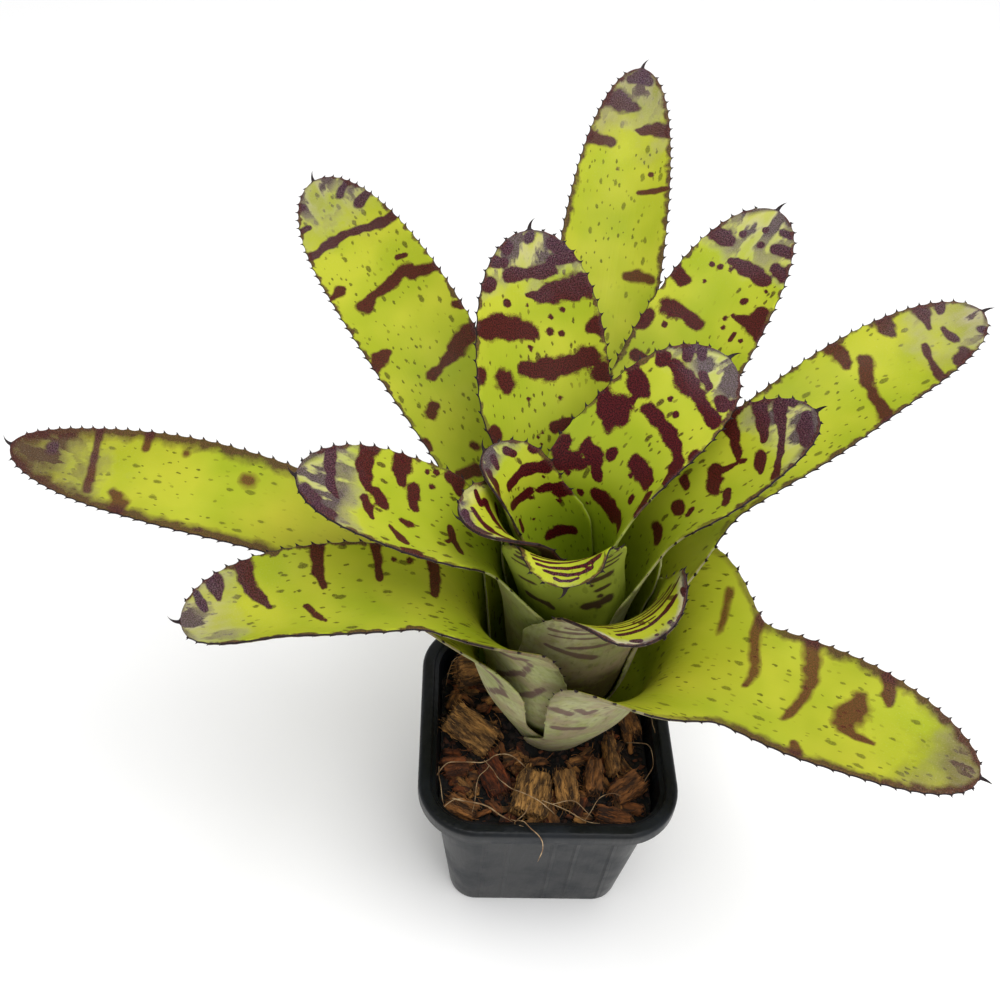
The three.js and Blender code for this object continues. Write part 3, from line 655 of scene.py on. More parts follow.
# Where a sheath opens out into the blade: from this share of the neck to this share of the blade.
OUTER_OPEN, INNER_OPEN = (0.5, 0.2), (0, 0)
BASE_THICKNESS, SHEATH_THICKNESS, BLADE_THICKNESS = 0.6, 0.85, 1.0
SPINE_SPACING, SPINE_LENGTH, SPINE_FREE_END = (7.0, 3.7), (1.6, 1.1), 2.2
POINT_LENGTH, POINT_RADIUS, POINT_CURL, POINT_ASIDE = 4.5, 1.1, 0.35, 0.42
ROUNDING_START, TAPER = 0.68, 2.6
LEAVES = [
    dict(azimuth=-31, shoulder=(41.6, 118.45), middle=(90, 129), tip=(134, 132),
         width=46, channel=65, neck=42, taper=1.8, open=(0.9, 0.25)),
    dict(azimuth=171, shoulder=(41, 120.5), middle=(97, 144), tip=(198, 144),
         width=38, channel=51, taper=1.7, twist=11, sweep=-5),
    dict(azimuth=83, shoulder=(38, 124), middle=(105, 163), tip=(194, 225),
         width=40, channel=40, taper=2.1, twist=-4, sweep=-2),
    dict(azimuth=197, shoulder=(38, 135), middle=(67, 146), tip=(124, 141), width=37, channel=22,
         neck=29, wrap=0.92, taper=3.2, twist=3, sweep=-5, reach=24, open=(0.95, 0.25)),
    dict(azimuth=122, shoulder=(32.65, 128.5), middle=(90, 161), tip=(184, 189),
         width=41, channel=45, twist=26, open=(0, 0.05)),
    dict(azimuth=32, shoulder=(33.8, 138), middle=(100, 169), tip=(163, 193),
         width=36, channel=30, neck=30, twist=-15, sweep=-3),
    dict(azimuth=-64, collar=(27, 134), shoulder=(30, 147), middle=(36.5, 154.5), tip=(47, 160),
         width=52, channel=22, neck=48, wrap=1.12, taper=2.6, twist=-15),
    dict(azimuth=62, collar=(25.6, 134), shoulder=(34, 152), middle=(88, 189), tip=(124, 215),
         width=40, channel=42, twist=-10, sweep=-6),
    dict(azimuth=183, collar=(24, 135), shoulder=(31, 153), middle=(59, 171), tip=(86, 186),
         width=41, channel=44, twist=7, sweep=2),
    dict(azimuth=107, collar=(22.5, 137), shoulder=(29, 156), middle=(50, 181), tip=(80, 218),
         width=46, channel=44, sweep=-4),
    dict(azimuth=18, collar=(21, 140), shoulder=(27.5, 159), middle=(52, 178), tip=(72, 195),
         width=37, channel=29, twist=-5, sweep=-3),
    dict(azimuth=-82, collar=(21.3, 159), shoulder=(25.5, 171.5), middle=(30.5, 176), tip=(36, 173),
         width=40, channel=26, neck=38, wrap=1.05, taper=2.4, twist=-24, sweep=-10),
    dict(azimuth=232, collar=(18.3, 155), shoulder=(19.4, 163.5), middle=(21.8, 170), tip=(34, 177),
         width=40, channel=20, neck=40, wrap=1.8, sweep=-27),
    dict(azimuth=42, collar=(16.2, 153), shoulder=(22, 168), middle=(43.3, 186), tip=(67, 197),
         width=40, channel=36, neck=44, wrap=1.5, twist=-22, sweep=-4),
    dict(azimuth=153, collar=(14, 151), shoulder=(16, 163), middle=(18.3, 171), tip=(27, 180),
         width=38, channel=18, neck=40, wrap=1.8),
]


def leaf_path(leaf, rank):
    """The leaf's midrib in its own upright plane, and where along it the sheath ends."""
    foot = (SHEATH_FOOT[0] + rank * FOOT_STEP[0], SHEATH_FOOT[1] + rank * FOOT_STEP[1])
    bulge = (SHEATH_BULGE[0] + rank * BULGE_STEP[0], SHEATH_BULGE[1] + rank * BULGE_STEP[1])
    sheath = [foot, bulge] + ([leaf["collar"]] if "collar" in leaf else [])
    line, run = midrib([*sheath, leaf["shoulder"], leaf["middle"], leaf["tip"]])
    ends = [run[200 * (len(sheath) - 1)] / run[-1], run[200 * len(sheath)] / run[-1]]
    return {"line": line, "run": run, "sheath_end": ends[0], "blade_start": ends[1], "rank": rank}


def leaf_section(leaf, path, t):
    """The frame and the half width of the leaf at each t, as columns."""
    t = np.atleast_1d(t)[:, None]
    end, start = path["sheath_end"], path["blade_start"]
    run = path["run"] / path["run"][-1]

    def at(s):
        s = np.clip(s, 0, 1)
        return np.hstack([np.interp(s, run, path["line"][:, k]) for k in (0, 1)])

    radius, height = np.split(at(t), 2, 1)
    slope = at(t + 1e-3) - at(t - 1e-3)
    slope /= np.linalg.norm(slope, axis=1)[:, None]
    wrap = mix(SHEATH_ANGLE, leaf.get("wrap", WRAP), smooth(0.3 * end, end, t))
    opens = leaf.get("open", INNER_OPEN if "collar" in leaf else OUTER_OPEN)
    opening = smooth(mix(end, start, opens[0]), mix(start, 1, opens[1]), t)
    along = np.clip((t - ROUNDING_START) / (1 - ROUNDING_START), 0, 1)
    rounding = np.sqrt(1 - along ** leaf.get("taper", TAPER))
    widest = max(ROUNDING_START, start + 0.1)
    blade = mix(leaf.get("neck", NECK_WIDTH), leaf["width"], smooth(start, widest, t)) * rounding
    clasp = np.minimum(radius, leaf["shoulder"][0]) * wrap
    half = mix(clasp, np.maximum(blade / 2, POINT_RADIUS), opening)
    trough = mix(radius, leaf["channel"], smooth(start, mix(start, 1, 0.7), t))

    reach = leaf.get("reach", 0) * (1 - smooth(end, mix(start, 1, 0.3), t))
    turn = np.radians(leaf["azimuth"] + reach + leaf.get("sweep", 0) * t * t)
    none = np.zeros_like(t)
    outward = np.hstack([np.cos(turn), np.sin(turn), none])
    lean = (0 if path["rank"] < HEART_RANK else HEART_LEAN) * smooth(LEAN_FROM, LEAN_TO, height)
    centre = outward * radius + np.hstack([AXIS[0] + lean, AXIS[1] + none, height])
    across = np.hstack([np.sin(turn), -np.cos(turn), none])
    square = smooth(end, mix(start, 1, 0.2), t)
    inward = outward * mix(-1, -slope[:, 1:], square)
    inward[:, 2:] = slope[:, :1] * square
    inward /= np.linalg.norm(inward, axis=1)[:, None]
    twist = np.radians(leaf.get("twist", 0)) * smooth(start, 1, t)
    forward = np.cross(inward, across)
    level, upright = across, inward
    across = level * np.cos(twist) + upright * np.sin(twist)
    inward = upright * np.cos(twist) - level * np.sin(twist)
    thickness = mix(mix(BASE_THICKNESS, SHEATH_THICKNESS, smooth(0, end, t)), BLADE_THICKNESS, square)
    columns = (half, trough, centre, across, inward, forward, thickness)
    return dict(zip(("half", "trough", "centre", "across", "inward", "forward", "thickness"), columns))


def leaf_points(section, side, lift, beyond=0.0):
    """A point for each t of the section and each side from -1 to 1, lifted off the middle layer."""
    s = {key: value[:, None, :] for key, value in section.items()}
    side, lift = np.atleast_1d(side)[None, :, None], np.atleast_1d(lift)[None, :, None]
    beyond = np.atleast_1d(beyond)
    beyond = beyond[:, :, None] if beyond.ndim == 2 else beyond[None, :, None]
    angle = side * s["half"] / s["trough"]
    depth = s["trough"] - lift * s["thickness"] / 2
    edge = (s["across"] * np.cos(angle) + s["inward"] * np.sin(angle)) * np.sign(side)
    point = s["centre"] + s["across"] * depth * np.sin(angle)
    return point + s["inward"] * (s["trough"] - depth * np.cos(angle)) + edge * beyond


def spine_places(leaf, path):
    """The t of each spine on a margin, its length and its breadth."""
    steps = np.linspace(mix(path["sheath_end"], path["blade_start"], 0.3), 1, 1201)
    margin = leaf_points(leaf_section(leaf, path, steps), 1, 0)[:, 0]
    run = np.concatenate([[0], np.cumsum(np.linalg.norm(np.diff(margin, axis=0), axis=1))])
    places = []
    distance = SPINE_SPACING[0] / 2
    while distance < run[-1] - SPINE_FREE_END:
        along = distance / run[-1]
        grown = min(along / 0.25, 1)  # they start small and slim where the sheath ends
        long = mix(*SPINE_LENGTH, along) * mix(0.4, 1, grown)
        places.append((float(np.interp(distance, run, steps)), long, long * mix(0.2, 1, grown)))
        distance += mix(*SPINE_SPACING, along)
    return places


# Horny margin and spines: black-purple, smooth and a little glossy, as on a rose thorn.
horn, add, shader = new_material("horny_spines_and_margin")
place = add("TexCoord").outputs["Object"]
worn = add("TexNoise", {"Vector": place, "Scale": 700, "Detail": 3})
tint = add("Mix", {0: worn, 6: "#0C0708", 7: "#2E1D20"}, data_type="RGBA")
relief = add("Bump", {"Height": worn, "Strength": 0.2, "Distance": 0.3 * MM})
feed(shader, {"Base Color": tint, "Roughness": 0.5, "Normal": relief, "Specular IOR Level": 0.2})

# The spine tree stands a bent cone on each point, turned by the point's own two directions.
spine_tree, add, given = new_tree("marginal spines", width=0.55 * MM, bend=0.5)
rod = {"Vertices": 6, "Side Segments": 3, "Radius Top": 0, "Radius Bottom": given[1], "Depth": 1.25 * MM}
cone = add("GeometryNodeMeshCone", rod, fill_type="NGON")
height = add("SeparateXYZ", add("GeometryNodeInputPosition")).outputs[2]
bent = height
for factor in (height, given[2], 1000):
    bent = add("Math", bent, factor, operation="MULTIPLY")
push = add("CombineXYZ", bent)
thorn = add("GeometryNodeSetPosition", {"Geometry": cone, "Offset": push})
outward, forward = [
    add("GeometryNodeInputNamedAttribute", label, data_type="FLOAT_VECTOR")
    for label in ("outward", "forward")
]
length, breadth = [
    add("GeometryNodeInputNamedAttribute", label, data_type="FLOAT")
    for label in ("length", "breadth")
]
aimed = {"Primary Axis": outward, "Secondary Axis": forward}
turned = add("FunctionNodeAxesToRotation", aimed, primary_axis="Z", secondary_axis="X")
narrow = add("Math", breadth, 0.55, operation="MULTIPLY")
size = add("CombineXYZ", breadth, narrow, length)
stood = {"Points": given[0], "Instance": thorn, "Rotation": turned, "Scale": size}
stood = add("GeometryNodeInstanceOnPoints", stood)
real = add("GeometryNodeRealizeInstances", stood)
done = add("GeometryNodeSetMaterial", {0: real, "Material": horn})
add("NodeGroupOutput", done)

# The noises that stir a leaf's colours: the scale per metre, the detail, and the share of that
# scale along the leaf, which draws a pattern out lengthwise. Where a noise isn't used whole, the two
# values that it is used between follow, and what they become where that isn't 0 and 1.
LEAF_NOISES = {
    "cloud": (38, 2, 1, 0.35, 0.65),
    "veins": (900, 2, 0.03),
    "grain": (2300, 1, 1),  # the cells show as dots of about 0.4 mm
    "yellowing": (22, 2, 1, 0.35, 0.7, 0, 0.55),
    "blotches": (110, 5, 1),
    "stains": (340, 4, 1),
    "foot": (120, 4, 1, 0.3, 0.7, -0.1, 0.1),
    "scales": (300, 4, 1, 0.3, 0.5, 0.7, 1),
    "thinning": (40, 2, 1, 0.38, 0.55, 0.1, 0.9),
    "tip": (80, 4, 1, 0.3, 0.7, -0.05, 0.05),
    "streaks": (170, 4, 0.4),
    "wavering": (260, 2, 1, 0.25, 0.75, -0.13, 0.13),
    "straying": (130, 1, 1, 0.3, 0.7, -0.1, 0.1),
    "haze": (90, 3, 1, 0.3, 0.7, -0.05, 0.05),
    "border": (190, 4, 1, 0.3, 0.7, -1.4, 1.4),
    "scurf": (2600, 2, 0.5),
    "polish": (120, 3, 1, 0.3, 0.7, 0.4, 0.55),
    "dents": (70, 2, 0.4, 0, 1, 0, 2),
}
# Amounts that follow one of the leaf's measures or noises, from one value of it to another. They
# run from 0 to 1, or between the last two numbers where there are four.
LEAF_RANGES = {
    "freckled": ("grain", 0.38, 0.62),
    "dotted": ("grain", 0.2, 0.8, -0.07, 0.07),
    "dull": ("cloud", 0, 1, 0.6, 0.75),
    # how strongly painted shade darkens a leaf's base: fully on the youngest inner leaves, little on the
    # oldest
    "young": ("age", 0, 0.8, 1, 0.1),
    "fresh": ("age", 0.3, 0.1),
    "faded": ("age", 0, 0.5, 1, 0.75),
    "browned": ("age", 0.5, 1, 1, 0.45),
    "broad": ("age", 0.35, 1, 0.7, 4.8),
    "solid": ("age", 0.35, 1, 0, 1.5),
    "longer": ("smoke", 0.6, 0.94, 0, 0.11),
    "shorter": ("smoke", 0.95, 1, 0, 0.14),
    "lip": ("smoke", 0.95, 1, 0, 0.9),
    "blots": ("smoke", 0, 1, -0.1, 0.05),
    "frilled": ("streaks", 0.3, 0.7, 2.2, -2.2),
    "streaky": ("streaks", 0.36, 0.6, 0.2, 0.85),
    "margin": ("inset", 3.5, 1),
    "clear": ("bar", 0, 0.25, -0.4, 0),
    "old_foot": ("along", 0.9, 0.1, 0.3, 0.9),
    "above": ("along", 0.15, 0.5, 0, 0.9),
    "dusted": ("along", 0.7, 1, 0.01, 0.18),
    "bloomed": ("bloom", 0, 1, 0.95, 0.8),
}


def leaf_material(name, upper):
    """Living leaf: the shared pattern of bars, specks, purple tip and scurf for one face."""
    material, add, shader = new_material(name)
    strap = add("Attribute", attribute_name="strap").outputs["Vector"]
    made = {}
    for label in ("inset", "along", "bar", "age", "bloom", "smoke"):
        made[label] = add("Attribute", attribute_name=label).outputs["Fac"]
    for label, (scale, detail, drawn, *ends) in LEAF_NOISES.items():
        spot = add("Mapping", {"Vector": strap, "Scale": (1, drawn, 1)})
        noise = add("TexNoise", {"Vector": spot, "Scale": scale, "Detail": detail})
        made[label] = add("MapRange", noise, *ends)
    for label, (source, *ends) in LEAF_RANGES.items():
        made[label] = add("MapRange", made[source], *ends)
    leaf = SimpleNamespace(**made)

    def coat(under, over, value, low=0, high=1, full=1):
        """One colour laid over another where the value goes from low to high, up to a full strength."""
        amount = add("MapRange", value, low, high, 0, full)
        return add("Mix", {0: amount, 6: under, 7: over}, data_type="RGBA")

    if upper:
        face = coat("#9AA71F", "#B3B730", leaf.cloud)
        # Painted shade: the face darkens to a deeper green towards its base, where it goes down into the cup,
        # more on young inner leaves than on old outer ones.
        face = coat(face, "#84961A", leaf.along, 0.6, 0, leaf.young)
        face = coat(face, "#B3A82E", leaf.yellowing, full=leaf.age)
    else:
        pale = coat("#8F9360", "#A5A27A", leaf.cloud)
        pale = coat(pale, "#BDB89A", leaf.veins, 0.45, 0.7, 0.2)
        pale = coat(pale, "#8F7F6A", leaf.along, 0.05, -0.45)
        pale = coat(pale, "#8A7264", leaf.blotches, 0.46, 0.6, 0.6)
        pale = coat(pale, "#6B6546", leaf.stains, 0.5, 0.68, 0.45)
        foot = add("Math", leaf.along, leaf.foot, operation="ADD")
        pale = coat(pale, "#4A3A28", foot, -0.45, -0.7)
        face = coat(coat("#75831A", "#93A02C", leaf.cloud), pale, leaf.scales, full=leaf.bloom)

    # Specks: fine ones up to two millimetres long, and fewer ovals up to four, all along the leaf.
    bent = add("TexNoise", {"Vector": strap, "Scale": 600, "Detail": 2}).outputs["Color"]
    bent = add("VectorMath", {0: bent, "Scale": 1.2 * MM}, operation="SCALE")
    shaken = add("VectorMath", strap, bent, operation="ADD")
    cells = add("Mapping", {"Vector": shaken, "Scale": (1, 0.5, 1)})
    specks = 0
    for pitch, share, widest, strength in ((2.6, 0.6, 0.5, leaf.thinning), (5.6, 0.5, 0.95, leaf.faded)):
        spread = {"Vector": cells, "Scale": 1 / (pitch * MM)}
        dots = add("TexVoronoi", spread, voronoi_dimensions="2D").outputs
        pick = add("SeparateColor", dots["Color"]).outputs
        size = add("MapRange", pick[1], 0, 1, 0.4 * widest / pitch, widest / pitch)
        within = add("Math", size, dots["Distance"], operation="SUBTRACT")
        shown = add("MapRange", pick[0], share - 0.01, share, strength, 0)
        speck = add("MapRange", within, -0.02, 0.035, 0, shown)
        specks = add("Math", specks, speck, operation="MAXIMUM")
    rich = 1 if upper else 0.35
    rich = add("MapRange", leaf.freckled, 0, 1, 0.95 * rich, 0.7 * rich)
    speckle = coat("#45430A", "#360B09", leaf.along, 0.1, 0.5, leaf.fresh)
    face = coat(face, speckle, specks, full=rich)

    # The tip turns cream in streaks between smoky purple patches. On the short inner leaves the
    # whole lip has a cream rim, with purple blots along its edge. The oldest tips have gone brown.
    tip = add("Math", leaf.along, leaf.tip, operation="ADD")
    reach = add("Math", leaf.longer, leaf.shorter, operation="SUBTRACT")
    reach = add("Math", tip, reach, operation="ADD")
    edging = add("Math", leaf.inset, leaf.frilled, operation="ADD")
    rim = add("MapRange", leaf.along, 0.5, 0.75, 0, leaf.lip)
    cream = add("MapRange", reach, 0.85, 0.99, 0, leaf.streaky)
    rimmed = add("MapRange", edging, 5.5, 2.5, 0, rim)
    cream = add("Math", cream, rimmed, operation="MAXIMUM")
    lasting = add("MapRange", leaf.smoke, 0.15, 0.3, 0, leaf.browned)
    face = coat(face, "#C6BCA2", cream, full=lasting)
    blots = add("Math", leaf.streaks, leaf.blots, operation="ADD")
    blots = add("MapRange", blots, 0.47, 0.53)
    aged = add("Math", leaf.age, 0.9, operation="MULTIPLY")
    patches = 0
    for value, low, high, full in (
        (reach, 0.86, 0.97, blots),
        (reach, 0.93, 1.02, leaf.margin),
        (tip, 0.82, 0.95, aged),
        (edging, 2.2, 1.2, rim),
    ):
        patch = add("MapRange", value, low, high, 0, full)
        patches = add("Math", patches, patch, operation="MAXIMUM")
    dusky = coat("#1C0D19", "#5E4A58", leaf.freckled)
    dusky = coat(dusky, coat("#2C1217", "#54302C", leaf.freckled), leaf.age)
    face = coat(face, dusky, patches, full=0.92)

    # Bars: the spread field is cut with a ragged, grainy edge.
    ragged = leaf.bar
    for part in (leaf.wavering, leaf.straying, leaf.dotted, leaf.clear):
        ragged = add("Math", ragged, part, operation="ADD")
    if upper:
        worn = add("Math", leaf.age, leaf.old_foot, operation="MULTIPLY")
        soft = add("MapRange", worn, 0, 1, 0.07, 0.4)
        low = add("Math", 0.46, soft, operation="SUBTRACT")
        high = add("Math", 0.46, soft, operation="ADD")
        full = add("MapRange", worn, 0, 1, 1, 0.75)
        smoky = add("Math", leaf.along, leaf.haze, operation="ADD")
        maroon = coat("#200206", "#561015", leaf.freckled)
        maroon = coat(maroon, coat("#4A1216", "#78302A", leaf.freckled), worn)
        maroon = coat(maroon, coat("#24121F", "#5E4856", leaf.freckled), smoky, 0.76, 1, 0.9)
        face = coat(face, maroon, ragged, low, high, full)
    else:
        faint = coat("#2E0F0E", "#5A3A42", leaf.bloom)
        face = coat(face, faint, ragged, 0.3, 0.62, leaf.bloomed)

    # The border is flushed purple-brown, broadly on old leaves, and thinly dark on young ones.
    # Silver scales dust the face, more towards the tip.
    border = add("Math", leaf.inset, leaf.border, operation="ADD")
    flush = coat("#2C1014", "#5A2E28", leaf.freckled)
    face = coat(face, flush, border, leaf.broad, leaf.solid, leaf.above)
    face = coat(face, "#CFC9BA", leaf.scurf, 0.58, 0.74, leaf.dusted)
    uneven = add("Math", leaf.veins, 0.25, leaf.dents, operation="MULTIPLY_ADD")
    relief = add("Bump", {"Height": uneven, "Strength": 0.5, "Distance": 0.5 * MM})
    feed(shader, {"Base Color": face, "Roughness": leaf.polish if upper else leaf.dull, "Normal": relief})
    feed(shader, {"Specular IOR Level": 0.12 if upper else 0.2})
    # Light soaks a millimetre into the flesh, so a leaf lit from behind glows a little.
    feed(shader, {"Subsurface Weight": 0.3, "Subsurface Radius": (1.0, 1.2, 0.3)})
    feed(shader, {"Subsurface Scale": 1.6 * MM})
    for node in reversed(material.node_tree.nodes[:]):  # this face has no use for these
        if node.outputs and not any(socket.is_linked for socket in node.outputs):
            material.node_tree.nodes.remove(node)
    return material


# Upper face: waxy lime skin, satin, with maroon bars that break up into dots at their edges, and painted
# shade that darkens it towards the base.
leaf_upper = leaf_material("waxy_leaf_upper_face", True)
# Lower face: the same leaf under a thin coat of grey scales, so it is paler and duller.
leaf_lower = leaf_material("scurfy_leaf_lower_face", False)

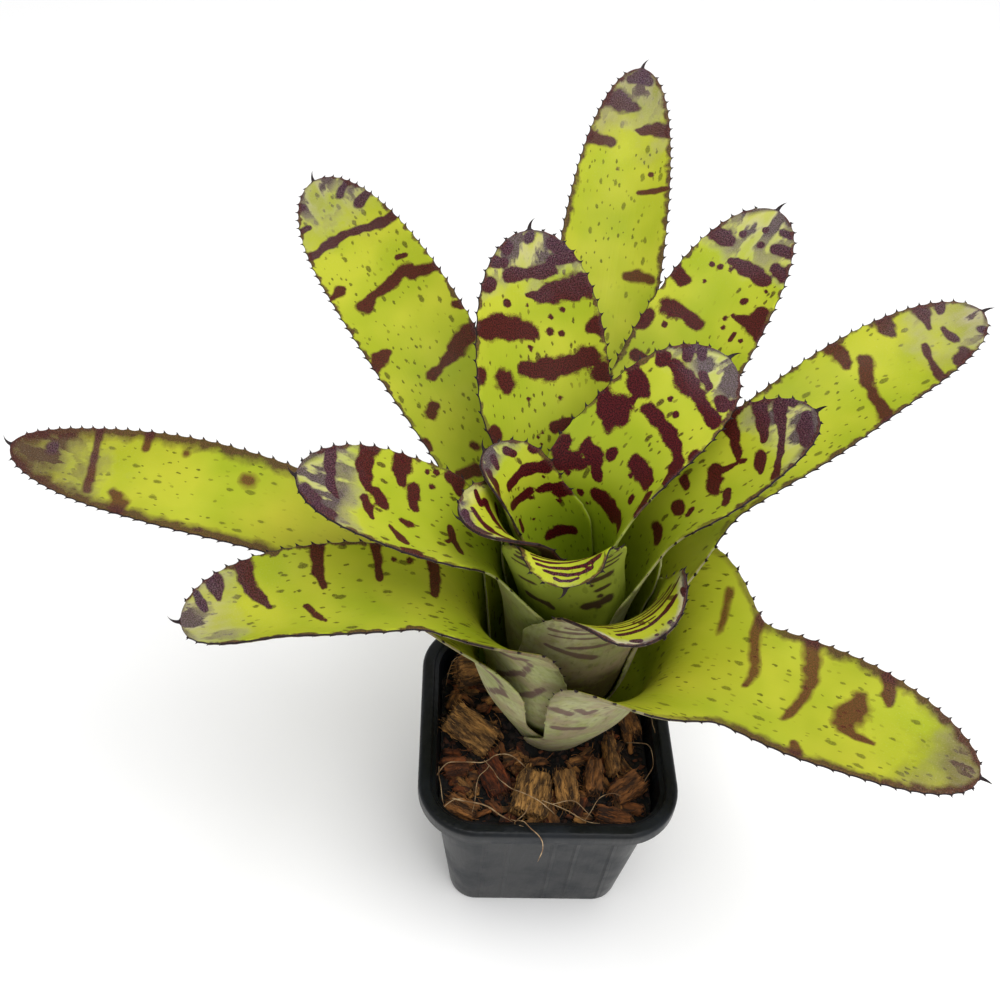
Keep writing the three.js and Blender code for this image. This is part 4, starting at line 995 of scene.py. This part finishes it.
# The bars of each leaf. A bar is a stroke through stations of three numbers: how far along the
# leaf in percent, how far across in tenths of the half width, and the stroke's half thickness
# there in millimetres. Near the point the strokes turn to a smoky grey-purple.
BARS = {
    1: [
        (47.5, -8, 1, 47.5, -4, 1),
        (53.8, -10, 1.6, 54, -8, 1.6, 55.2, -5, 1.5, 56.7, -2, 1.7, 56.3, 1, 0.9),
        (64.5, -10, 2.6, 65, -8.5, 2.8, 66.8, -5, 2.3, 67.3, -2, 1.8, 66.6, 1, 1.3, 65.5, 4, 1.1),
        (76.5, -4.5, 2.2, 76.5, -2, 4.4, 76, 0.3, 3.8), (75.6, 1.8, 1.8, 78.5, 2.2, 1.3, 81.3, 2.4, 1),
        (80, -9.5, 2.4, 80.8, -7, 2, 81.7, -5.5, 1.2), (70, 9.2, 2, 69, 7.5, 1),
        (36, 9.8, 1.3, 34.8, 8.3, 1.3), (37.5, 8.3, 1, 35.5, 7, 1.1, 39, 6.6, 1),
        (28, 9.5, 1.2, 28, 6.8, 1.2),
    ],
    2: [
        (87.3, 10, 1.4, 87, 6, 1.5, 86.5, 1.5, 1.4, 84.8, -7, 1.6), (79.6, 10, 1.6, 79.3, 6.5, 1.4),
        (73.2, 7, 1.4), (63, 4.5, 2.6), (81, -5, 1.8, 79.2, -7.5, 3, 78.5, -9.5, 2.6), (93.5, 3, 2.4),
        (18.5, -5.5, 0.8, 23, -8.2, 1.4, 29.8, -9.5, 1),
    ],
    3: [
        (94, -9.5, 3.6, 94, -5, 4, 93.5, -1, 2.8), (97.8, -6, 1.6, 98.8, 0, 3, 98, 6, 2.2),
        (90, 10, 3.8, 90, 7, 3.2, 89.7, 4, 2, 89.7, 1.5, 0.9),
        (86.8, -10, 2.6, 86.8, -7.5, 2.8, 87, -4.5, 2.2), (79.5, 4, 1.1, 80.2, 9.5, 1.2),
        (66, 3.5, 1.5, 66.2, 5.5, 2.8, 65.5, 8.5, 1.7), (83, -1.3, 0.9), (82.5, 6, 1),
    ],
    4: [
        (96.7, 8.5, 1.3, 96, 5, 1.4, 95.5, 2.5, 0.9), (93.3, 9.5, 2.4, 93, 7, 2.1, 92.8, 4.5, 1.1),
        (87.3, 10, 2.6, 87.3, 7, 2.6, 87, 4.5, 2, 85.6, 2.3, 1.6, 84.2, 0, 0.8),
        (74, 10, 2, 74.2, 7.5, 2, 74.5, 5, 1.6, 74.2, 2.3, 0.9), (63.8, 10, 1.7, 63.8, 6, 1.4, 64, 3, 0.9),
        (52.8, 6.5, 1.8, 53, 4, 1.9, 54.3, 0.6, 1.3), (77.8, -1, 0.9, 76.5, -3.5, 1.2, 75, -5.5, 0.8),
        (30.5, 0, 0.9, 37.5, -4.8, 1.1, 44, -8, 0.9), (27, -2, 1, 30, -4.8, 1.3, 34.8, -7.5, 1.1),
        (60.5, 7.3, 1), (57.5, 7, 1.1), (42, -2, 0.7, 43.5, -5, 0.9, 46, -8, 0.8),
        (22, 1.5, 0.6, 23.5, -2, 0.8),
    ],
    5: [
        (91.5, 10, 1.8, 91, 7, 2.7), (95.8, 9, 1.4, 94.8, 5, 2), (92, -10, 1.8, 92, -8, 1.5),
        (96.5, -9, 1.8),
        (84.8, 10, 1.9, 85.3, 7, 2.4, 86.5, 4, 1.8, 87.5, 0, 1.8, 87.5, -4, 2.2, 86.6, -8, 1.8, 86, -10, 1.6),
        (78.6, 5.3, 1.1, 78, 6.8, 1),
        (73, 10, 1.8, 75, 6, 2.7, 76, 4.6, 2.8, 75.5, 2.5, 2.4, 75, 0, 2, 74.5, -3, 1.9, 73.5, -5, 3.1),
        (77.8, -7.5, 2.2, 76.8, -9.8, 1.5), (66.5, 9.2, 1.6, 65.5, 10, 1.2),
        (61, 10, 2.6, 61, 7, 4.4, 59.5, 4, 2.6, 58.8, 1.5, 1.4, 57.8, -1, 2.1),
        (64.2, -6, 1.5, 63.5, -8, 2.8, 62, -9.8, 2), (52.2, -5.5, 2.7, 53, -4, 2),
        (48, -9.8, 1.5, 46.5, -9.8, 1), (44, 4.5, 2.2), (41, 2, 2.4), (44.8, -0.7, 2),
        (41.3, -3, 2.4, 41.5, -6.8, 2),
    ],
    6: [
        (92.3, -10, 2.8, 92.2, -7, 2.1, 91.7, -3.5, 1.2), (95.3, -9.5, 2, 94.8, -7, 1.2),
        (93.3, -1, 1.4, 93.3, 3, 1.8), (92.8, 7.5, 1.8, 92, 9.5, 3, 91, 10, 3),
        (89, 0.3, 1.3, 88, 3.5, 1.3, 87, 6.8, 1.5, 86.2, 10, 1.9), (86, -10, 2.6, 86, -8, 3, 86.2, -6, 1.6),
        (76.5, -10, 2.2, 77.5, -8.5, 2.9, 77.5, -5.5, 2.2),
        (80, -3.7, 2.4, 79.5, -2, 2.7, 78, 0, 2.2, 77, 3.5, 1.8, 76, 7.3, 2.2, 75, 10, 2.5), (97.5, 8, 1.8),
    ],
    7: [
        (67.8, 7.5, 0.8, 64.5, 4, 1.3, 62.3, 2, 1.2), (68.5, 5, 0.8, 69.6, 1, 1, 70.8, -2, 0.8),
        (76, 9, 0.6, 77.5, 3, 0.7, 76.5, -3, 0.6, 75, -8, 0.8), (80, 7, 0.5, 81, 1, 0.6, 80, -6, 0.6),
        (84, 8, 0.6, 85.5, 0, 0.7, 84, -8, 0.9), (88.5, 5, 0.5, 89.5, -2, 0.6, 88.5, -9, 0.8),
        (93, 6, 0.7, 93.5, 0, 0.6, 92.5, -7, 0.9), (73.5, 8, 0.4, 74.5, 2, 0.5, 73.5, -4, 0.4),
        (78.7, 8, 0.4, 79.5, 0, 0.4, 78.5, -7, 0.4), (82, 7, 0.4, 83, 0, 0.4, 82, -7, 0.4),
        (87, 7, 0.4, 87.6, -1, 0.4, 86.5, -8, 0.5), (91, 5, 0.4, 91.5, -2, 0.4), (98.6, 1, 0.8),
        (97.6, 5.2, 1.1, 96.8, 7, 0.8), (97.7, -4.5, 0.9), (95.4, -8.8, 1.1, 93.4, -9.4, 0.8),
    ],
    8: [
        (91.8, -10, 3, 91.7, -7, 3, 91.6, -5.3, 2.2), (93.8, -4, 1.3), (86.8, -5, 1.1), (87.1, -3.3, 1.2),
        (88.6, -2.3, 1.3), (87.2, -1.3, 1), (83.5, -4.2, 0.9), (93.4, 1.5, 1.4), (96, 0.5, 1),
        (96.8, 6.5, 1.6, 96.8, 10, 1.7), (93.8, 6, 2, 93.8, 10, 2.1), (90.3, 7, 1.9, 89.6, 10, 2.9),
        (88.6, -0.8, 1.8, 88.5, 1.5, 2.4, 88.2, 4, 3, 87.5, 5.8, 2.6), (85.8, 7.3, 1),
        (82.8, -10, 2.2, 82.3, -8, 2.5), (76.8, -7.5, 3, 77, -5.5, 2.8, 77, -3.5, 2.2, 76.2, -1.5, 2.8),
        (74, -9.3, 2, 72, -9.8, 2.7), (73.6, -6, 1),
        (79.7, 5, 1.5, 79.8, 7.2, 3.2, 79.2, 9, 3.4, 77.5, 10, 2.2), (82, 8.2, 2.2, 80, 8.5, 3),
        (79, 2.7, 1), (80, 3.8, 0.9), (77.3, 3.3, 1), (83, 4.2, 1.3), (75.5, 5.5, 0.8, 77, 5.5, 0.8),
        (76, 7.2, 0.9), (66.8, -8, 1.9, 66.4, -6, 2.2, 65.5, -4.2, 1.3),
    ],
    9: [
        (94.2, 10, 1.8, 93.9, 5, 1.8, 93, 0, 1.5, 91.8, -2.5, 1),
        (87.2, 10, 3.4, 87, 7.5, 2.9, 86.4, 4, 2.1, 85.6, 2.2, 1.1),
        (79, 10, 3.5, 79.2, 7.5, 2.9, 78.8, 5.3, 1.7), (83.8, 1.8, 2, 82.8, 0.8, 2.6, 82, -0.3, 1.7),
        (86.2, -0.2, 1.5, 85.5, -2, 1.6, 84.6, -4.2, 0.8), (76, 5.2, 1.8, 75.8, 3.2, 2.2, 75.3, 1.3, 1.5),
        (72, 6.3, 1.2), (71.5, 9, 1), (73.5, 8.6, 0.9), (68.5, 9.5, 1.6, 66.6, 9, 2.7, 66, 7.5, 1.4),
        (78.3, -2.2, 1.2, 76.8, -2.4, 1.7), (80.8, -4.5, 1, 79.2, -6.5, 1.6, 78, -7.5, 1),
        (79.5, -9.5, 1, 76, -9.5, 1.4), (67.5, 0, 1.1, 67, -2.8, 1.5, 65.8, -5.5, 1), (68.6, -3.6, 0.9),
        (98, -5, 2.4, 96.5, -7.5, 2.6, 93.5, -9.5, 2.2),
    ],
    10: [
        (98.8, 0, 2.2), (97.5, 6, 2, 96, 9.5, 2.5), (94.8, 10, 2.2, 94, 5, 1.8),
        (95, -10, 2, 94.3, -7, 1.6), (97.2, -8, 2.2), (92.3, -4.8, 2.1, 92.3, 0, 2.2, 92.3, 4, 2.3),
        (90.8, -10, 2.7, 90.8, -8.5, 2.2),
        (88.2, -1, 0.8, 88, 1.5, 2.5, 88.5, 5, 4, 88.5, 8, 4.4, 88.3, 10, 3.6),
        (83, -10, 2.7, 82.8, -5.5, 4.4, 82, -2.5, 3.4, 81.5, -0.5, 2.7), (81.3, 9.2, 2.9, 80.3, 10, 2),
        (75.5, 7.5, 3.9, 74.3, 4.3, 2.9, 74.2, 1.3, 3.8, 74.6, -2.5, 2.5), (72.8, -5.5, 3.9),
        (74.3, -9.7, 3), (72.8, 9, 3.3, 71.5, 10, 2.6), (63.5, -9.5, 2.5, 61.5, -9.7, 3),
        (63.2, 1.5, 2, 63, 4.5, 2.1), (87, -4.7, 1.4), (86.4, -1.2, 0.9), (83.8, 2.6, 1), (84.8, 4.6, 1),
        (81.2, 2.2, 1.3), (80.3, 4, 1.1), (78.5, -1, 0.9), (69, -2, 1), (68.5, 2.8, 1.1), (61.8, -1.5, 0.8),
        (62.5, -0.7, 0.8), (60.2, -1.2, 0.7),
    ],
    11: [
        (98, -1, 1.6, 96.8, 2.5, 2.6, 96, 6, 2.4, 95, 9, 2), (97.5, -8, 1.6),
        (96, -9, 2.6, 94.7, -6.5, 2.3, 93.3, -3, 1.6, 92, 0.5, 1.1, 90, 4, 1.1, 88, 7, 1.2, 86.3, 9.3, 1.7),
        (92.2, -10, 3, 91.4, -7.5, 2.7, 90.5, -4.5, 1.9, 88.6, -1, 1), (88, -10, 2),
        (85, -8, 2.6, 84.3, -5.5, 2.1, 83, -2.5, 1.9, 82.3, -0.8, 0.9),
        (79, -0.2, 1, 81.3, 0, 0.9, 83, 0.5, 1), (86.2, 1.3, 1.8, 85.5, 3, 1.9, 84.5, 5.5, 0.9),
        (77, -1.3, 2, 75.9, 0.7, 2.5, 74.6, 3, 2), (77, 4.5, 1.2, 75.3, 7, 1.3),
        (70.8, -3, 1.7, 70.4, -1.5, 1.6), (67, 1, 1.9, 66.6, 2.5, 1.8), (69, 3.8, 0.9, 67.8, 4.5, 0.9),
        (60.5, 1, 2, 60, 4, 2.2),
    ],
    12: [
        (83.5, -9, 0.7, 84.5, -4, 0.8, 85, 2, 0.8, 84, 8, 0.7),
        (87, -8, 0.8, 87.8, -2, 0.8, 87.5, 5, 0.8, 86.5, 9, 0.7),
        (89.6, -9, 0.5, 90.4, -2, 0.6, 90, 7, 0.5), (91.5, -8, 0.4, 92.2, 0, 0.5, 91.6, 8, 0.4),
        (93.1, -8, 0.4, 93.8, -4, 0.5, 94, 0, 0.5, 93.8, 4, 0.5, 93.1, 8, 0.4),
        (94.5, -8.5, 0.4, 95.4, -4.5, 0.4, 95.7, 0, 0.4, 95.3, 4.5, 0.4, 94.5, 8, 0.4),
        (95.9, -7.5, 0.4, 96.9, -3.5, 0.5, 97.2, 0, 0.5, 96.8, 4, 0.4, 96, 7, 0.4),
        (97.8, -5, 0.4, 98.5, -1.5, 0.4, 98.5, 2.5, 0.4, 97.9, 5, 0.4),
        (81.5, -8, 0.6, 82, 0, 0.7, 81.5, 8, 0.6), (77, -3, 1.2, 77, -6.5, 1.4),
        (72, -3.5, 0.9, 72, -6, 0.9), (66, -1.5, 1.6, 66, -5.5, 1.9), (66, 4, 1.2, 66.5, 7, 1.2),
        (74, 5, 0.9, 73.5, 7.5, 0.9), (74.8, -3.2, 0.9), (69, -4.2, 1), (64.5, -3.5, 1), (64.8, 3.3, 1),
    ],
    13: [
        (95, 4.5, 1, 94.5, 1, 1.2, 93.7, -3, 1.2, 92.5, -6.5, 1), (90, 6, 1.2, 89.3, 2, 1, 88.7, -2, 0.9),
        (85.5, 6, 1.7, 84.5, 1, 1.5, 84, -3, 1.2), (96, -9, 1.5, 91, -9.4, 1.8, 86, -9.4, 2, 82, -9.6, 1.6),
        (96.5, -7.5, 1.5, 98.5, -3, 1.5, 98.8, 1.5, 1.3, 97.5, 5, 1), (92.5, 8.5, 0.9, 92, 5.5, 0.8),
        (78, -2, 1.2, 77.5, -6, 1.2),
    ],
    14: [
        (90, -8.5, 2.5), (95.3, -8.5, 1.9, 93.8, -7, 1.9), (97.5, -8, 1.5, 96, -6, 1.6),
        (91, -6, 2.2, 90.3, -2.5, 3, 89.8, 1.5, 2.7, 88.5, 5, 2.4, 87, 8.3, 2.7),
        (93.6, -1, 1.3, 92.6, 2.5, 1.4), (91.8, 6, 2, 90.8, 8, 2.1), (92.5, 10, 2.3),
        (84.8, -9.5, 1.9, 83.5, -7.5, 2.7, 83, -5.5, 2.3), (77.3, -9.5, 3, 76.3, -6.5, 5), (80.5, -5.5, 1),
        (81, -2.5, 2.3, 80.8, -1, 2.5, 80, 2.5, 2.2, 79, 5, 2.3, 76.8, 7.5, 1.8, 74.5, 9, 2.4, 71.5, 10, 1.2),
        (85.3, -1.2, 1), (83.5, 1.5, 1.1), (79, 10, 2), (69.5, -2.3, 1.9), (67.8, -6, 2.4, 67, -4, 2.9),
        (71, 2, 2.6, 70.3, 4.5, 3.1, 69.3, 6.5, 2.1), (68.5, 2.5, 1.1),
        (60.5, -1, 2.3, 60.3, 2, 2.9, 60.5, 5, 2.2), (66.5, 10, 1.6),
        (66.5, -9, 2.6, 64.2, -8, 2.3, 65.2, -6.2, 2.6, 65, -5, 2.2), (65.8, -3.2, 1.6, 64.2, -2, 1.6),
        (59.5, -3.2, 1.2), (62.5, -6, 0.8), (57.5, -2, 0.7), (65.5, 5.5, 1.4),
        (66.2, 9.8, 1.4, 68.2, 8.5, 1.4),
    ],
    15: [
        (86.5, 9.2, 1.8, 88.5, 5, 1.4, 88.3, 2, 1.6, 88.5, -1, 1.3), (91.5, 9.5, 1.6),
        (83, -1.5, 1.6, 82.2, 1.8, 1.4, 82.2, 3.8, 1.5), (80.8, 5.8, 1.3, 81.2, 7.5, 1.4),
        (80, 8.5, 2, 80.3, 10, 2), (85, 1.8, 1), (84.5, 7.5, 0.7), (79.6, 3.5, 0.9), (79, -1.2, 0.7),
        (76.8, 7, 0.7), (76.8, -0.5, 0.8, 73, -0.5, 1), (76, 3.5, 0.7), (73.2, 2.3, 0.7), (72.2, 4.5, 0.7),
        (76.5, -6, 1.3, 75, -6.5, 1.1), (65, 3.5, 1.8, 66.5, 5.5, 2, 66.8, 7.3, 1.9), (70, -4, 0.9),
        (66, -4.5, 1.6, 66.2, -2.5, 1.4), (93.5, -7.5, 1.4, 96, -5.5, 1.7), (94.8, -0.7, 1.2, 97, 0.5, 1.6),
        (93.8, 6.5, 1.2, 96, 5.5, 1.5), (90.5, -9.5, 1.8), (93, -5, 1.4, 91.5, -8, 1.4),
    ],
}

LEAF_MATERIALS = [leaf_upper, leaf_lower, horn]
UPPER, LOWER, HORN = 0, 1, 2
# How old each leaf is, from a fresh one to one whose colours yellow and whose bars fade.
AGES = [0.8, 1.0, 0.5, 0.25, 0.25, 0.4, 0.1, 0.1, 0.1, 0.1, 0.1, 0.0, 0.0, 0.0, 0.0]
# How far each lower face is coated with pale scales: the youngest are nearly bare and stay green.
BLOOM = [1, 0.9, 0.9, 0.9, 0.9, 1, 0.95, 0.8, 0.7, 0.7, 0.8, 0.1, 0.15, 0.3, 0.2]
# How much smoky purple and cream the tips carry, from a few patches to a full rim.
SMOKE = [0.6, 0.8, 0.45, 0.5, 0.55, 0.3, 1.0, 0.75, 0.94, 0.75, 0.94, 0.18, 0.97, 0.9, 0.85]
COLUMNS = 38  # of the mesh, across a face
# The mesh rows lie this far apart along a leaf, and closer on those with hairline stripes and
# in the last part, where the tip rounds off.
ROW_STEP, FINE_ROW_STEP, TIP_FROM, TIP_ROWS = 1.1, 0.6, 0.93, 26
HAIRLINED = (7, 12, 13)
# The rounded margin goes over in three steps from face to face, and swells a little at a spine.
EDGE_LIFT, EDGE_SWELL = np.array([0.62, 0.0, -0.62]), np.array([0.28, 0.42, 0.28])
SPINE_SWELL, SWELL_REACH = 0.45, 0.8
# The woody stem's outline, as radius and height.
STEM = [(0.01, 50), (12.2, 50), (12.2, 54), (2.7, 67.8), (3.3, 69), (3.3, 70.4), (0.01, 70.4)]


def bar_field(strokes, along, across, half):
    """One on the strokes' lines, a half at their edges and zero beyond, for points of a strap."""
    field = np.zeros_like(across)
    for stroke in strokes:
        stations = list(zip(stroke[::3], stroke[1::3], stroke[2::3]))
        for (t1, s1, h1), (t2, s2, h2) in zip(stations, stations[1:] or stations):
            width = np.interp((t1 + t2) / 200 * along[-1, 0], along[:, 0], half)
            a = np.array([t1 / 100 * along[-1, 0], s1 / 10 * width])
            b = np.array([t2 / 100 * along[-1, 0], s2 / 10 * width])
            step = b - a
            reach = max(step @ step, 1e-9)
            part = np.clip(((along - a[0]) * step[0] + (across - a[1]) * step[1]) / reach, 0, 1)
            far = np.hypot(along - a[0] - part * step[0], across - a[1] - part * step[1])
            field = np.maximum(field, 1 - far / (2 * mix(h1, h2, part)))
    return np.clip(field, 0, 1)


def note(mesh, name, values):
    """Keep a number or a direction on each point of a mesh, for its material or its tree."""
    values = np.asarray(values, "f4")
    kind, key = ("FLOAT", "value") if values.ndim == 1 else ("FLOAT_VECTOR", "vector")
    mesh.attributes.new(name, kind, "POINT").data.foreach_set(key, values.ravel())


for rank, leaf in enumerate(LEAVES):
    path = leaf_path(leaf, rank)
    spines = spine_places(leaf, path)
    spine_t, spine_lengths, spine_breadths = [np.array(column) for column in zip(*spines)]
    length = path["run"][-1]
    row_step = FINE_ROW_STEP if rank + 1 in HAIRLINED else ROW_STEP
    body_t = np.arange(0, TIP_FROM, row_step / length)
    tip_t = TIP_FROM + (1 - TIP_FROM) * np.sin(np.linspace(0, math.pi / 2, TIP_ROWS))
    t = np.unique(np.concatenate([body_t, tip_t, spine_t]))
    section = leaf_section(leaf, path, t)

    # Between the spines the margin is drawn in a little, like the edge of a bat's wing.
    phase = np.interp(t, spine_t, np.arange(len(spines)), left=-9, right=-9)
    off = np.abs(phase - np.round(phase)) * np.interp(t, [0, 1], SPINE_SPACING)
    horned = np.where(phase < -1, 0, SPINE_SWELL * np.exp(-((off / SWELL_REACH) ** 2)))[:, None]

    inner = np.linspace(-1, 1, COLUMNS + 1)
    side = np.concatenate([inner, [1] * 3, inner[::-1], [-1] * 3])
    lift = np.concatenate([[1] * len(inner), EDGE_LIFT, [-1] * len(inner), -EDGE_LIFT])
    out = np.concatenate([[0] * len(inner), EDGE_SWELL, [0] * len(inner), EDGE_SWELL])
    grid = leaf_points(section, side, lift, out[None, :] + horned * (np.abs(side) == 1)[None, :])
    count = grid.shape[1]

    # The hooked point carries the last row on, curving in and to one side as it thins.
    last = {key: value[-1] for key, value in section.items()}
    hook = last["inward"] * POINT_CURL + last["across"] * POINT_ASIDE
    rings = list(grid)
    for u in np.linspace(0.12, 1, 8):
        spot = last["centre"] + POINT_LENGTH * (last["forward"] * (u - 0.2 * u**3) + hook * u**2)
        rings.append(spot + (grid[-1] - last["centre"]) * (0.5 * (1 - u) ** 0.9 + 0.03))
    rings = [ring[::-1] for ring in rings]
    mesh = closed_loft(f"leaf_{rank + 1:02d}_body", rings, LEAF_MATERIALS)

    # Where each point lies on the leaf, for the patterns. The loft's two end points come last.
    extra = len(rings) - len(t)
    t_rows = np.concatenate([t, np.ones(extra)])[:, None]
    half = np.concatenate([section["half"][:, 0], np.full(extra, POINT_RADIUS)])
    x = half[:, None] * side[::-1][None, :]
    y = t_rows * length + np.zeros_like(x)
    start = path["sheath_end"]
    values = {
        "inset": half[:, None] - np.abs(x),
        "along": (t_rows - start) / (1 - start) + np.zeros_like(x),
        "bar": bar_field(BARS[rank + 1], y, x, half),
        "age": np.full_like(x, AGES[rank]),
        "bloom": np.full_like(x, BLOOM[rank]),
        "smoke": np.full_like(x, SMOKE[rank]),
        "strap": np.stack([x * MM + 0.31 * rank, y * MM, np.zeros_like(x)], 2),  # apart from other leaves
    }
    for name, value in values.items():
        note(mesh, name, np.concatenate([*value, value[0, :1], value[-1, :1]]))

    # Materials: upper face, lower face, and horn on the margins and the point.
    kind = np.full(count, HORN)
    kind[-2 - COLUMNS :] = UPPER
    kind[2 : 4 + COLUMNS] = LOWER
    horn_from = mix(path["blade_start"], 1, 0.08)
    faces = np.full(len(mesh.polygons), HORN)
    for r in range(len(t) - 1):
        faces[r * count : (r + 1) * count] = kind if t[r] > horn_from else np.minimum(kind, LOWER)
    mesh.polygons.foreach_set("material_index", faces.astype("i4"))

    # Spines on both margins.
    at_spines = leaf_section(leaf, path, spine_t)
    seats, outs = [], []
    for hand in (-1, 1):
        seats.append(leaf_points(at_spines, hand, 0, 0.25)[:, 0])
        outs.append(leaf_points(at_spines, hand, 0, 1.25)[:, 0] - seats[-1])
    spine_mesh = bpy.data.meshes.new("spine_seats")
    spine_mesh.from_pydata(list(np.vstack(seats) * MM), [], [])
    note(spine_mesh, "outward", np.vstack(outs))
    note(spine_mesh, "forward", np.vstack([at_spines["forward"]] * 2))
    note(spine_mesh, "length", np.tile(spine_lengths, 2))
    note(spine_mesh, "breadth", np.tile(spine_breadths, 2))
    spine_mesh = run_nodes(spine_mesh, spine_tree, width=0.6 * MM, bend=0.45)
    spine_mesh.polygons.foreach_set("material_index", [HORN] * len(spine_mesh.polygons))
    whole = bmesh.new()
    whole.from_mesh(mesh)
    whole.from_mesh(spine_mesh)
    if rank == len(LEAVES) - 1:
        # The short woody stem that every leaf grows from is one piece with the youngest leaf.
        turns = [2 * math.pi * i / 40 for i in range(40)]
        rings = [[(AXIS[0] + r * math.cos(a), AXIS[1] + r * math.sin(a), z) for a in turns] for r, z in STEM]
        whole.from_mesh(closed_loft("stem_body", rings, LEAF_MATERIALS))
    whole.to_mesh(mesh)
    whole.free()
    mesh.shade_smooth()
    piece_of(f"strap_leaf_{rank + 1:02d}", mesh, f"leaf_{rank + 1:02d}", slot="leaf")

# ---- Studio ----
# A plain white sweep under a large soft light from above, with a weaker one from the front.
LAMPS = [
    # name, place and width in metres, power in watts
    ("overhead", (0.3, -0.15, 1.3), 1.0, 9),
    ("front", (0.5, -1.1, 0.7), 0.8, 3),
]
AIM = Vector((0, 0, 0.1))
floor_mesh = bpy.data.meshes.new("floor")
floor_mesh.from_pydata([(-4, -4, 0), (4, -4, 0), (4, 4, 0), (-4, 4, 0)], [], [(0, 1, 2, 3)])
sweep, add, shader = new_material("white_paper_sweep")
feed(shader, {"Base Color": "#FDFDFD", "Roughness": 0.9})
floor_mesh.materials.append(sweep)
stand("floor", floor_mesh)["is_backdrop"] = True

world = bpy.data.worlds.new("white_studio")
world.use_nodes = True
feed(world.node_tree.nodes["Background"], {"Color": (1, 1, 1, 1), "Strength": 0.82})
bpy.context.scene.world = world
for name, spot, size, power in LAMPS:
    lamp = bpy.data.lights.new(name, "AREA")
    lamp.shape = "DISK"
    lamp.size = size
    lamp.energy = power
    facing = (AIM - Vector(spot)).to_track_quat("-Z", "Y").to_matrix().to_4x4()
    stand(name, lamp).matrix_world = Matrix.Translation(spot) @ facing
bpy.context.scene.view_settings.view_transform = "Standard"

sizes = {"cad": [list(corner) for corner in cad_box], "visual": [list(corner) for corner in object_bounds()]}
